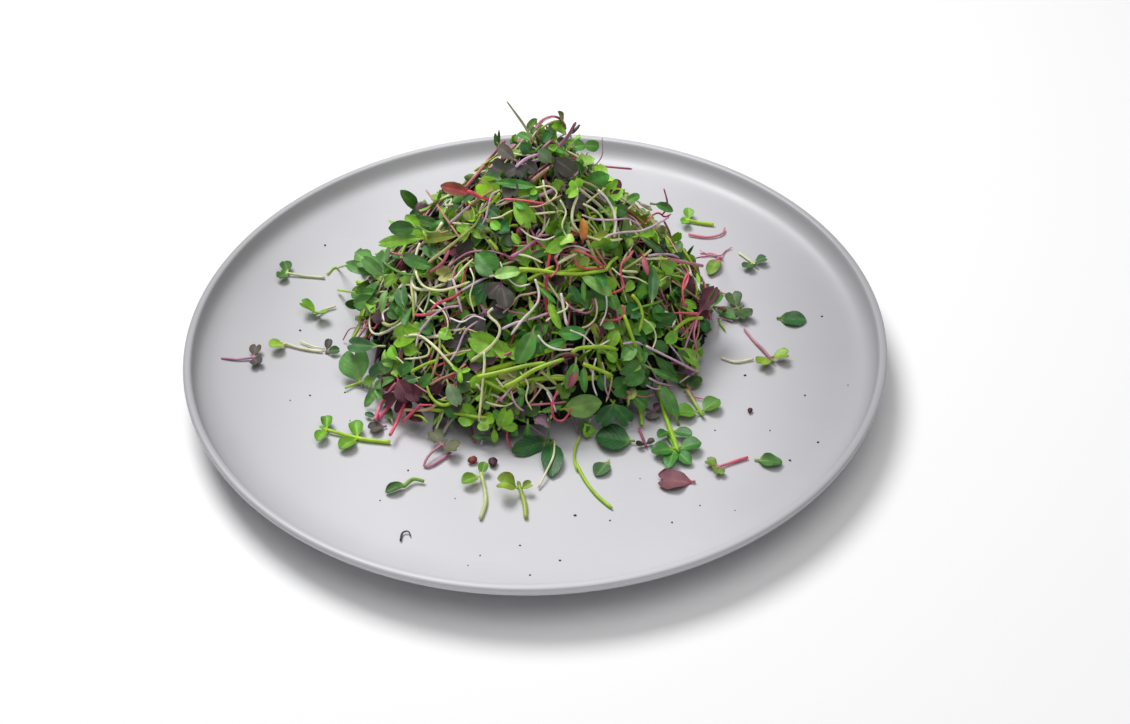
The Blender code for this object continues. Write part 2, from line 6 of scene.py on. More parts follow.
import bpy
import numpy as np
from mathutils import Matrix, Vector

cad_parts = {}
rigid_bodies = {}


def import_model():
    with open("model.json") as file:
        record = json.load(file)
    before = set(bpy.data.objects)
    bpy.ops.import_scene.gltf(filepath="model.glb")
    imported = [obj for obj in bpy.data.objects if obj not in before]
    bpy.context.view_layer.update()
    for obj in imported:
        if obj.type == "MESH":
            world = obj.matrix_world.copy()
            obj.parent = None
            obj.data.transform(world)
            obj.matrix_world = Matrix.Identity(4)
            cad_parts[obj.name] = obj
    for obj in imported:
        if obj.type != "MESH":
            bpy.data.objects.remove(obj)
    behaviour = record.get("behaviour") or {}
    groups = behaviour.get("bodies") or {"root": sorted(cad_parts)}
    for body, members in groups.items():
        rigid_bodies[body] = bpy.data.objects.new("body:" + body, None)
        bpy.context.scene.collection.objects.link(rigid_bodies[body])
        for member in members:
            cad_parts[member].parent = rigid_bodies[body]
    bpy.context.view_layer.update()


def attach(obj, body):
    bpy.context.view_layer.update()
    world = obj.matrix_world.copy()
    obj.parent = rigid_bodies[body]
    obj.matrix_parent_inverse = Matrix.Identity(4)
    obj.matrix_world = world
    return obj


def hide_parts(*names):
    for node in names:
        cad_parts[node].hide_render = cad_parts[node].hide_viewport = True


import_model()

MM = 0.001
rng = random.Random(20531)

# ---------------------------------------------------------------------------
# the shape of plate and heap, in mm, as in the CAD
# ---------------------------------------------------------------------------
PLATE_R, PLATE_H, FLOOR_Z = 135.0, 19.0, 10.0
HEAP_X, HEAP_Y, HEAP_R, HEAP_H, HEAP_LEAN, HEAP_SKIRT = -3.0, 12.5, 71.0, 93.0, 5.7, 2.2
GAP, CLEAR = 0.35, 1.3


def heap_edge(angle):
    return HEAP_R * (1 + 0.028 * math.cos(2 * angle) + 0.02 * math.cos(3 * angle))


def heap_rise(q):
    q = min(max(q, 0.0), 1.0)
    return HEAP_H * (1 - q ** 0.95) ** 0.784


def lumps(x, y):
    return (math.sin(x / 6.1 + 0.7) * math.cos(y / 7.3 - 0.4)
            + 0.6 * math.sin((x + y) / 9.7 + 1.9))


def heap_top(x, y, rough=True):
    rise = 0.0
    q = 2.0
    for _ in range(18):
        dx = x - (HEAP_X + HEAP_LEAN * rise / HEAP_H)
        dy = y - HEAP_Y
        q = math.hypot(dx, dy) / heap_edge(math.atan2(dy, dx))
        rise = 0.5 * rise + 0.5 * heap_rise(q)
    if q >= 1.0:
        return 0.0
    soft = min(1.0, 5.0 * q) * min(1.0, 4.0 * (1 - q))
    if not rough:
        return rise
    return max(HEAP_SKIRT, rise + 1.5 * soft * lumps(x, y))


def surface(x, y):
    """What lies below a sprout that the CAD holds as its own node."""
    top = heap_top(x, y)
    if top <= 0.0:
        for step in range(8):
            a = step * math.pi / 4
            if heap_top(x + 1.6 * math.cos(a), y + 1.6 * math.sin(a)) > 0.0:
                return FLOOR_Z + HEAP_SKIRT + CLEAR
        return FLOOR_Z + GAP
    return FLOOR_Z + top + CLEAR


def normal(x, y):
    e = 4.0
    dzx = (surface(x + e, y) - surface(x - e, y)) / (2 * e)
    dzy = (surface(x, y + e) - surface(x, y - e)) / (2 * e)
    return Vector((-dzx, -dzy, 1.0)).normalized()


def level(x, y):
    """Smooth top of the heap, or the plate's floor."""
    return FLOOR_Z + heap_top(x, y, False)


def levels(x, y):
    """level() for arrays."""
    rise = np.zeros_like(x)
    dy = y - HEAP_Y
    for _ in range(14):
        dx = x - (HEAP_X + HEAP_LEAN * rise / HEAP_H)
        a = np.arctan2(dy, dx)
        q = np.hypot(dx, dy) / (HEAP_R * (1 + 0.028 * np.cos(2 * a) + 0.02 * np.cos(3 * a)))
        rise = 0.5 * rise + 0.5 * HEAP_H * (1 - np.clip(q, 0, 1) ** 0.95) ** 0.784
    return FLOOR_Z + np.where(q < 1.0, rise, 0.0)


def slope_normal(x, y):
    e = 3.0
    dzx = (level(x + e, y) - level(x - e, y)) / (2 * e)
    dzy = (level(x, y + e) - level(x, y - e)) / (2 * e)
    return Vector((-dzx, -dzy, 1.0)).normalized()


# ---------------------------------------------------------------------------
# camera, at the photograph's angle; image taken as 1130 x 724
# ---------------------------------------------------------------------------
IMG_W, IMG_H, FOCAL_PX = 1130, 724, 1849.15
ELEV, ROLL, DIST = math.radians(40.885), math.radians(-1.146), 700.0
AIM = Vector((11.36, -20.02, PLATE_H))
back = Vector((0, -math.cos(ELEV), math.sin(ELEV)))
CAM = AIM + back * DIST
fwd = -back
_r = Vector((1, 0, 0))
_u = _r.cross(fwd)
RIGHT = _r * math.cos(ROLL) + _u * math.sin(ROLL)
UP = _u * math.cos(ROLL) - _r * math.sin(ROLL)


def ray(px, py):
    return (fwd * FOCAL_PX + RIGHT * (px - IMG_W / 2) - UP * (py - IMG_H / 2)).normalized()


def on(px, py, lift=0.0):
    """The point on heap or plate that shows at a pixel, raised by lift."""
    d = ray(px, py)
    t = (135.0 - CAM.z) / d.z
    while True:
        p = CAM + d * t
        if p.z <= level(p.x, p.y) + 0.3:
            break
        t += 1.0
    a, b = t - 1.0, t
    for _ in range(12):
        m = (a + b) / 2
        p = CAM + d * m
        if p.z <= level(p.x, p.y) + 0.3:
            b = m
        else:
            a = m
    p = CAM + d * b
    n = slope_normal(p.x, p.y) if p.z > FLOOR_Z + 1.0 else Vector((0, 0, 1))
    # lifted along the line of sight's upright plane, so that the pixel stays
    return p - d * (lift / max(0.25, -d.dot(n)))


def pixels(v):
    """Where points show in the image."""
    d = v - np.array(CAM)
    depth = d @ np.array(fwd)
    return IMG_W / 2 + FOCAL_PX * (d @ np.array(RIGHT)) / depth, IMG_H / 2 - FOCAL_PX * (d @ np.array(UP)) / depth


# rough outline of the heap in the image, measured row by row and thinned out: row, left end, right end
OUTLINE = np.array([
    (110, 546, 572), (130, 522, 588), (155, 496, 596), (180, 462, 614), (205, 414, 636), (235, 398, 678), (260, 362, 692),
    (285, 354, 708), (310, 352, 716), (345, 352, 702), (385, 354, 698), (410, 378, 682), (430, 398, 648),
    (448, 450, 600)], float)
# pieces that lie free on the plate or show whole: centre and reach in the image
SHOWN = [(357, 362, 17), (448, 179, 13), (470, 184, 9), (405, 200, 11), (390, 248, 9), (600, 167, 9), (405, 396, 17), (528, 451, 17), (552, 461, 17), (614, 438, 22), (500, 300, 15), (462, 430, 10),
         (596, 465, 12), (548, 432, 4), (640, 448, 9), (517, 445, 9), (382, 432, 8), (372, 418, 6), (394, 418, 8),
         (425, 412, 8), (645, 396, 9), (694, 400, 12), (590, 399, 15), (660, 350, 10), (752, 320, 16), (770, 350, 18)]


def fits(verts, slack=2.5):
    """Whether a sprout stays in the heap's outline and covers no piece that shows whole."""
    x, y = pixels(verts)
    left = np.interp(y, OUTLINE[:, 0], OUTLINE[:, 1])
    right = np.interp(y, OUTLINE[:, 0], OUTLINE[:, 2])
    out = (x < left - slack) | (x > right + slack) | (y < 113) | (y > 447)
    if out.mean() > 0.015:
        return False
    near_side = verts[:, 1] < HEAP_Y + 25
    for cx, cy, reach in SHOWN:
        hit = near_side & ((x - cx) ** 2 + (y - cy) ** 2 < reach * reach)
        if hit.mean() > 0.03:
            return False
    return True


def at(px, py, y):
    """The point of the upright plane at y that shows at a pixel."""
    d = ray(px, py)
    return CAM + d * ((y - CAM.y) / d.y)


# ---------------------------------------------------------------------------
# mesh batches
# ---------------------------------------------------------------------------
class Batch:
    def __init__(self, name, slot, replaces=()):
        self.name, self.slot, self.replaces = name, slot, list(replaces)
        self.v, self.f, self.uv, self.lu, self.ch, self.c, self.m = [], [], [], [], [], [], []
        self.nv = 0
        self.nch = 0
        self.mats = []

    def slot_of(self, mat):
        if mat not in self.mats:
            self.mats.append(mat)
        return self.mats.index(mat)

    def add(self, verts, faces, cols, charts, uv, luv, mat):
        self.v.append(verts)
        self.f.append(faces + self.nv)
        self.c.append(cols)
        self.uv.append(uv)
        self.lu.append(luv)
        self.ch.append(charts + self.nch)
        self.m.append(np.full(len(faces), self.slot_of(mat)))
        self.nv += len(verts)
        self.nch += int(charts.max()) + 1

    def mark(self):
        return len(self.v), self.nv, self.nch

    def undo(self, mark):
        """Take out what was added since the mark."""
        k, self.nv, self.nch = mark
        for rows in (self.v, self.f, self.c, self.uv, self.lu, self.ch, self.m):
            del rows[k:]

    def shade(self, deep=0.05, low=-7.0, high=2.0, gain=1.16):
        """Paint shade into what lies inside the heap, darker where little light gets in; gain paints the outermost
        sprouts a little lighter.
        """
        for k, v in enumerate(self.v):
            g = v[:, 2] - levels(v[:, 0], v[:, 1])
            t = np.clip((g - low) / (high - low), 0, 1)
            t = t * t * (3 - 2 * t)
            self.c[k] = self.c[k] * (deep + (gain - deep) * t)[:, None]

    def build(self):
        v = np.concatenate(self.v) * MM
        f = np.concatenate(self.f)
        uv = np.concatenate(self.uv)
        lu = np.concatenate(self.lu)
        ch = np.concatenate(self.ch)
        c = np.concatenate(self.c)
        m = np.concatenate(self.m)
        # charts side by side in a square sheet
        n = max(1, math.ceil(math.sqrt(self.nch)))
        pad = 0.06
        cell = np.stack([ch % n, ch // n], -1)[:, None, :]
        sheet = (cell + pad + uv * (1 - 2 * pad)) / n
        mesh = bpy.data.meshes.new(self.name)
        mesh.vertices.add(len(v))
        mesh.vertices.foreach_set("co", v.astype(np.float32).ravel())
        mesh.loops.add(len(f) * 4)
        mesh.loops.foreach_set("vertex_index", f.astype(np.int32).ravel())
        mesh.polygons.add(len(f))
        mesh.polygons.foreach_set("loop_start", (np.arange(len(f)) * 4).astype(np.int32))
        mesh.polygons.foreach_set("material_index", m.astype(np.int32))
        mesh.update(calc_edges=True)
        mesh.validate()
        mesh.polygons.foreach_set("use_smooth", np.ones(len(mesh.polygons), bool))
        for name, data in (("OFBake", sheet), ("Blade", lu)):
            layer = mesh.uv_layers.new(name=name)
            layer.uv.foreach_set("vector", data.astype(np.float32).ravel())
        mesh.uv_layers.active = mesh.uv_layers["OFBake"]
        mesh.uv_layers["OFBake"].active_render = True
        att = mesh.color_attributes.new("Tint", "FLOAT_COLOR", "POINT")
        rgba = np.concatenate([np.clip(c, 0, 1), np.ones((len(c), 1))], 1)
        att.data.foreach_set("color", rgba.astype(np.float32).ravel())
        mesh.set_sharp_from_angle(angle=math.radians(100))
        for mat in self.mats:
            mesh.materials.append(mat)
        obj = bpy.data.objects.new(self.name, mesh)
        bpy.context.scene.collection.objects.link(obj)
        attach(obj, "root")
        if self.replaces:
            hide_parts(*self.replaces)
        return obj


# ---- leaf topology: a closed lens whose upper and lower skins share the edge
def _quads(grid, flip):
    a, b, c, d = grid[:-1, :-1], grid[:-1, 1:], grid[1:, 1:], grid[1:, :-1]
    q = np.stack([a, b, c, d] if not flip else [a, d, c, b], -1)
    return q.reshape(-1, 4)


def _quv(g, flip):
    a, b, c, d = g[:-1, :-1], g[:-1, 1:], g[1:, 1:], g[1:, :-1]
    q = np.stack([a, b, c, d] if not flip else [a, d, c, b], -2)
    return q.reshape(-1, 4, 2)


def _lens(cols, rows):
    cols, rows = np.array(cols), np.array(rows)
    nc, nr = len(cols), len(rows)
    uu, vv = np.meshgrid(cols, rows)
    top = np.arange(nr * nc).reshape(nr, nc)
    low = top.copy()
    low[1:-1, 1:-1] = nr * nc + np.arange((nr - 2) * (nc - 2)).reshape(nr - 2, nc - 2)
    faces = np.concatenate([_quads(top, False), _quads(low, True)])
    g = np.stack([uu * 0.5 + 0.5, vv], -1)
    uv = np.concatenate([_quv(g, False), _quv(g, True)])
    ch = np.concatenate([np.zeros(len(faces) // 2, int), np.ones(len(faces) // 2, int)])
    return uu, vv, faces, uv, ch


FINE = _lens([-1, -0.9, -0.68, -0.4, -0.16, 0, 0.16, 0.4, 0.68, 0.9, 1.0],
             [0, 0.06, 0.13, 0.22, 0.33, 0.45, 0.57, 0.69, 0.8, 0.9, 0.965, 1.0])
COARSE = _lens([-1, -0.78, -0.4, 0, 0.4, 0.78, 1.0], [0, 0.1, 0.24, 0.42, 0.62, 0.8, 0.93, 1.0])

WIDTHS = {
    "heart": ([0, .08, .2, .38, .6, .8, .93, 1], [.09, .2, .55, .88, 1.0, .96, .82, .60]),
    "coty": ([0, .08, .2, .38, .6, .8, .93, 1], [.10, .22, .60, .92, 1.0, .90, .68, .40]),
    "oval": ([0, .06, .2, .5, .75, .9, 1], [.08, .22, .70, 1, .82, .48, .06]),
    "round": ([0, .06, .2, .5, .75, .9, 1], [.10, .34, .80, 1, .86, .56, .12]),
    "long": ([0, .1, .3, .6, .85, 1], [.30, .62, .95, 1, .66, .12]),
    "small": ([0, .15, .4, .7, .9, 1], [.2, .5, .95, 1, .75, .4]),
    "lobed": ([0, .1, .22, .34, .44, .6, .7, .8, .92, 1], [.1, .22, .62, .80, .60, 1.0, .84, .62, .62, .22]),
}
REACH = {
    "heart": ([0, .2, .56, .86, 1], [.80, .90, 1.0, .97, .88]),
    "coty": ([0, .2, .56, .86, 1], [.90, .96, 1.0, .97, .90]),
    "lobed": ([0, .2, .56, .86, 1], [1.0, .97, .93, .92, .9]),
}


def leaf_mesh(batch, origin, axis, up, length, width, kind, look, rise0=0.0, rise1=0.0, cup=0.2,
              wave=0.0, twist=0.0, r=None, flip=False, grid=None):
    """One leaf blade. cup is the angle in radians that its edges turn up by."""
    r = r or rng
    UU, VV, LEAF_F, LEAF_UV, LEAF_CH = grid or FINE
    run = np.array(axis, float)
    run /= np.linalg.norm(run)
    nrm = np.array(up, float)
    nrm -= run * nrm.dot(run)
    nrm /= max(1e-9, np.linalg.norm(nrm))
    across = np.cross(run, nrm)
    w = np.interp(VV, *WIDTHS[kind])
    reach = np.interp(np.abs(UU), *REACH[kind]) if kind in REACH else np.ones_like(UU)
    t = VV * (1 - (1 - reach) * VV)
    ts = np.linspace(0, 1.05, 22)
    ang = np.arctan(rise0 + (rise1 - rise0) * ts)
    step = ts[1] - ts[0]
    ys = np.concatenate([[0], np.cumsum(np.cos(ang[:-1]) * step)]) * length
    zs = np.concatenate([[0], np.cumsum(np.sin(ang[:-1]) * step)]) * length
    y0 = np.interp(t, ts, ys)
    z0 = np.interp(t, ts, zs)
    th = np.interp(t, ts, ang)
    half = width / 2
    s = UU * w * half
    k = (cup if abs(cup) > 1e-3 else 1e-3) / half
    x = np.sin(k * s) / k
    zc = (1 - np.cos(k * s)) / k
    ph = r.uniform(0, 6.28)
    zc = zc + wave * width * UU ** 2 * np.sin(6.28 * (1.3 * VV) + ph + UU)
    zc = zc - 0.045 * width * np.exp(-(UU / 0.16) ** 2) * (1 - 0.5 * VV)
    if twist:
        ct, st = np.cos(twist * VV), np.sin(twist * VV)
        x, zc = x * ct - zc * st, x * st + zc * ct
    yy = y0 - zc * np.sin(th)
    zz = z0 + zc * np.cos(th)
    o = np.array(origin, float)
    top = (o + x[..., None] * across + yy[..., None] * run + zz[..., None] * nrm)
    nl = (-np.sin(th))[..., None] * run + np.cos(th)[..., None] * nrm
    thick = look.get("thick", 0.42) * (1 - 0.55 * UU ** 4)
    low = top - nl * thick[..., None]
    verts = np.concatenate([top.reshape(-1, 3), low[1:-1, 1:-1].reshape(-1, 3)])
    # colours
    j = look.get("vary", 0.16)
    shade = 1 + r.uniform(-j, j)
    hue = r.uniform(-1, 1) * look.get("hue", 0.10)
    c0 = np.array(look["top"]) * shade * np.array([1 + hue, 1, 1 - 0.6 * hue])
    c1 = np.array(look["under"]) * shade * np.array([1 + hue, 1, 1 - 0.6 * hue])
    vein = np.array(look.get("vein", np.array(look["top"]) * 1.5 + 0.01))
    foot = np.array(look.get("foot", look["stem"][1]))
    edge = np.array(look.get("edge", c0 * 0.86))
    kv = look.get("veins", 0.55) * np.exp(-(UU / 0.13) ** 2) * (1 - 0.6 * VV)
    kb = np.clip(1 - VV / 0.17, 0, 1) ** 1.2
    ke = np.clip((np.abs(UU) - 0.72) / 0.28, 0, 1) * look.get("edging", 0.5)
    kt = np.clip((VV - 0.8) / 0.2, 0, 1) * look.get("tipping", 0.2)
    wash = 1 + 0.10 * np.sin(3.1 * UU + ph) * np.sin(4.0 * VV + 2 * ph)

    def mix(a, b, f):
        return a * (1 - f[..., None]) + b * f[..., None]
    ct_ = np.broadcast_to(c0, UU.shape + (3,)) * wash[..., None]
    ct_ = mix(ct_, np.broadcast_to(edge, ct_.shape), np.maximum(ke, kt))
    ct_ = mix(ct_, np.broadcast_to(vein, ct_.shape), kv)
    ct_ = mix(ct_, np.broadcast_to(foot, ct_.shape), kb)
    cb_ = np.broadcast_to(c1, UU.shape + (3,)) * wash[..., None]
    cb_ = mix(cb_, np.broadcast_to(vein, cb_.shape), kv * 0.8)
    cb_ = mix(cb_, np.broadcast_to(foot, cb_.shape), kb)
    if flip:
        ct_, cb_ = cb_, ct_
    cols = np.concatenate([ct_.reshape(-1, 3), cb_[1:-1, 1:-1].reshape(-1, 3)])
    batch.add(verts, LEAF_F, cols, LEAF_CH, LEAF_UV, LEAF_UV, look["leaf_mat"])
    return verts


def resample(pts, n):
    p = np.array([tuple(q) for q in pts], float)
    d = np.concatenate([[0], np.cumsum(np.linalg.norm(np.diff(p, axis=0), axis=1))])
    s = np.linspace(0, d[-1], n)
    return np.stack([np.interp(s, d, p[:, i]) for i in range(3)], 1), d[-1]


def spline(knots, samples=12):
    pts = [knots[0] * 2 - knots[1]] + list(knots) + [knots[-1] * 2 - knots[-2]]
    out = []
    for i in range(1, len(pts) - 2):
        p0, p1, p2, p3 = pts[i - 1:i + 3]
        for s in range(samples):
            t = s / samples
            out.append(0.5 * ((2 * p1) + (p2 - p0) * t + (2 * p0 - 5 * p1 + 4 * p2 - p3) * t * t
                              + (3 * p1 - 3 * p2 + p3 - p0) * t ** 3))
    out.append(knots[-1].copy())
    return out


_tube_cache = {}


def tube(batch, pts, radii, cols, mat, sides=8, flat=1.0):
    """A closed stem through pts with its own radius and colour at each point."""
    p = np.asarray(pts, float)
    n = len(p)
    tan = np.gradient(p, axis=0)
    tan /= np.maximum(1e-9, np.linalg.norm(tan, axis=1))[:, None]
    ref = np.array([0.0, 0.0, 1.0]) if abs(tan[0][2]) < 0.9 else np.array([1.0, 0, 0])
    u = np.cross(tan[0], ref)
    u /= np.linalg.norm(u)
    us = []
    for i in range(n):
        u = u - tan[i] * u.dot(tan[i])
        u /= max(1e-9, np.linalg.norm(u))
        us.append(u)
    us = np.array(us)
    ws = np.cross(tan, us)
    a = np.arange(sides) * 2 * math.pi / sides
    ring = (np.cos(a)[None, :, None] * us[:, None, :] + flat * np.sin(a)[None, :, None] * ws[:, None, :])
    verts = (p[:, None, :] + ring * np.asarray(radii)[:, None, None]).reshape(-1, 3)
    key = (n, sides)
    if key not in _tube_cache:
        idx = np.arange(n * sides).reshape(n, sides)
        nx = np.roll(idx, -1, 1)
        q = np.stack([idx[:-1], nx[:-1], nx[1:], idx[1:]], -1).reshape(-1, 4)
        k = np.arange(sides) / sides
        k2 = (np.arange(sides) + 1) / sides
        s = np.linspace(0, 1, n)
        A = np.stack(np.broadcast_arrays(k[None, :], s[:-1, None]), -1)
        B = np.stack(np.broadcast_arrays(k2[None, :], s[:-1, None]), -1)
        C = np.stack(np.broadcast_arrays(k2[None, :], s[1:, None]), -1)
        D = np.stack(np.broadcast_arrays(k[None, :], s[1:, None]), -1)
        uv = np.stack([A, B, C, D], -2).reshape(-1, 4, 2)
        caps, cuv = [], []
        for base, rev in ((0, True), ((n - 1) * sides, False)):
            for i in range(1, sides - 1, 2):
                quad = [base, base + i, base + i + 1, base + min(i + 2, sides - 1)]
                if i + 2 > sides - 1:
                    continue
                caps.append(quad[::-1] if rev else quad)
                e = 0.0 if rev else 1.0
                cuv.append([[0.5, e]] * 4)
        f = np.concatenate([q, np.array(caps)])
        uv = np.concatenate([uv, np.array(cuv)])
        _tube_cache[key] = (f, uv, np.zeros(len(f), int))
    f, uv, ch = _tube_cache[key]
    c = np.repeat(np.asarray(cols, float), sides, axis=0)
    batch.add(verts, f, c, ch, uv, uv, mat)
    return verts


# ---------------------------------------------------------------------------
# materials
# ---------------------------------------------------------------------------
def node(nt, kind, **values):
    n = nt.nodes.new(kind)
    for k, val in values.items():
        setattr(n, k, val)
    return n


def green_material(name, rough, bump, spec=0.45, sheen=0.0, sub=0.12, mottle=0.28, veins=0.12, scale=900.0):
    mat = bpy.data.materials.new(name)
    mat.use_nodes = True
    nt = mat.node_tree
    p = nt.nodes["Principled BSDF"]
    link = nt.links.new
    tint = node(nt, "ShaderNodeVertexColor", layer_name="Tint")
    co = node(nt, "ShaderNodeTexCoord")
    big = node(nt, "ShaderNodeTexNoise")
    big.inputs["Scale"].default_value = scale * 0.28
    big.inputs["Detail"].default_value = 3.0
    link(co.outputs["Object"], big.inputs["Vector"])
    fine = node(nt, "ShaderNodeTexNoise")
    fine.inputs["Scale"].default_value = scale
    fine.inputs["Detail"].default_value = 4.0
    link(co.outputs["Object"], fine.inputs["Vector"])
    # mottling: lighter and darker patches
    ramp = node(nt, "ShaderNodeMapRange")
    ramp.inputs["From Min"].default_value = 0.3
    ramp.inputs["From Max"].default_value = 0.7
    ramp.inputs["To Min"].default_value = 1.0 - mottle
    ramp.inputs["To Max"].default_value = 1.0 + mottle
    link(big.outputs["Fac"], ramp.inputs["Value"])
    mul = node(nt, "ShaderNodeMix", data_type="RGBA", blend_type="MULTIPLY")
    mul.inputs["Factor"].default_value = 1.0
    link(tint.outputs["Color"], mul.inputs["A"])
    link(ramp.outputs["Result"], mul.inputs["B"])
    colour = mul.outputs["Result"]
    height = fine.outputs["Fac"]
    if veins > 0:
        # side veins run out from the midrib toward the tip
        uv = node(nt, "ShaderNodeUVMap", uv_map="Blade")
        sep = node(nt, "ShaderNodeSeparateXYZ")
        link(uv.outputs["UV"], sep.inputs["Vector"])
        off = node(nt, "ShaderNodeMath", operation="SUBTRACT")
        link(sep.outputs["X"], off.inputs[0])
        off.inputs[1].default_value = 0.5
        ab = node(nt, "ShaderNodeMath", operation="ABSOLUTE")
        link(off.outputs[0], ab.inputs[0])
        slant = node(nt, "ShaderNodeMath", operation="MULTIPLY_ADD")
        link(ab.outputs[0], slant.inputs[0])
        slant.inputs[1].default_value = -0.9
        link(sep.outputs["Y"], slant.inputs[2])
        many = node(nt, "ShaderNodeMath", operation="MULTIPLY_ADD")
        link(slant.outputs[0], many.inputs[0])
        many.inputs[1].default_value = 38.0
        link(big.outputs["Fac"], many.inputs[2])
        wave = node(nt, "ShaderNodeMath", operation="SINE")
        link(many.outputs[0], wave.inputs[0])
        thin = node(nt, "ShaderNodeMapRange")
        thin.inputs["From Min"].default_value = 0.72
        thin.inputs["From Max"].default_value = 1.0
        thin.inputs["To Min"].default_value = 0.0
        thin.inputs["To Max"].default_value = veins
        link(wave.outputs[0], thin.inputs["Value"])
        light = node(nt, "ShaderNodeMix", data_type="RGBA", blend_type="MIX")
        link(thin.outputs["Result"], light.inputs["Factor"])
        link(colour, light.inputs["A"])
        light.inputs["B"].default_value = (0.32, 0.46, 0.16, 1)
        colour = light.outputs["Result"]
        add = node(nt, "ShaderNodeMath", operation="MULTIPLY_ADD")
        link(thin.outputs["Result"], add.inputs[0])
        add.inputs[1].default_value = -2.0
        link(fine.outputs["Fac"], add.inputs[2])
        height = add.outputs[0]
    link(colour, p.inputs["Base Color"])
    rr = node(nt, "ShaderNodeMapRange")
    rr.inputs["To Min"].default_value = rough - 0.09
    rr.inputs["To Max"].default_value = rough + 0.12
    link(fine.outputs["Fac"], rr.inputs["Value"])
    link(rr.outputs["Result"], p.inputs["Roughness"])
    b = node(nt, "ShaderNodeBump")
    b.inputs["Strength"].default_value = bump
    b.inputs["Distance"].default_value = 0.0004
    link(height, b.inputs["Height"])
    link(b.outputs["Normal"], p.inputs["Normal"])
    p.inputs["Specular IOR Level"].default_value = spec
    p.inputs["Subsurface Weight"].default_value = sub
    p.inputs["Subsurface Radius"].default_value = (0.35, 0.6, 0.15)
    p.inputs["Subsurface Scale"].default_value = 0.0012
    if sheen:
        p.inputs["Sheen Weight"].default_value = sheen
    return mat


M_LEAF = green_material("leaf_skin", 0.42, 0.35)
M_DULL = green_material("leaf_dull_skin", 0.62, 0.30, spec=0.3, veins=0.06, mottle=0.22)
M_STEM = green_material("stem_skin", 0.40, 0.18, spec=0.5, veins=0.0, mottle=0.14, sub=0.25)
M_HULL = green_material("hull_skin", 0.55, 0.8, spec=0.35, veins=0.0, mottle=0.45, sub=0.0)


def srgb(r, g, b):
    def lin(c):
        c /= 255.0
        return c / 12.92 if c <= 0.04045 else ((c + 0.055) / 1.055) ** 2.4
    return (lin(r), lin(g), lin(b))


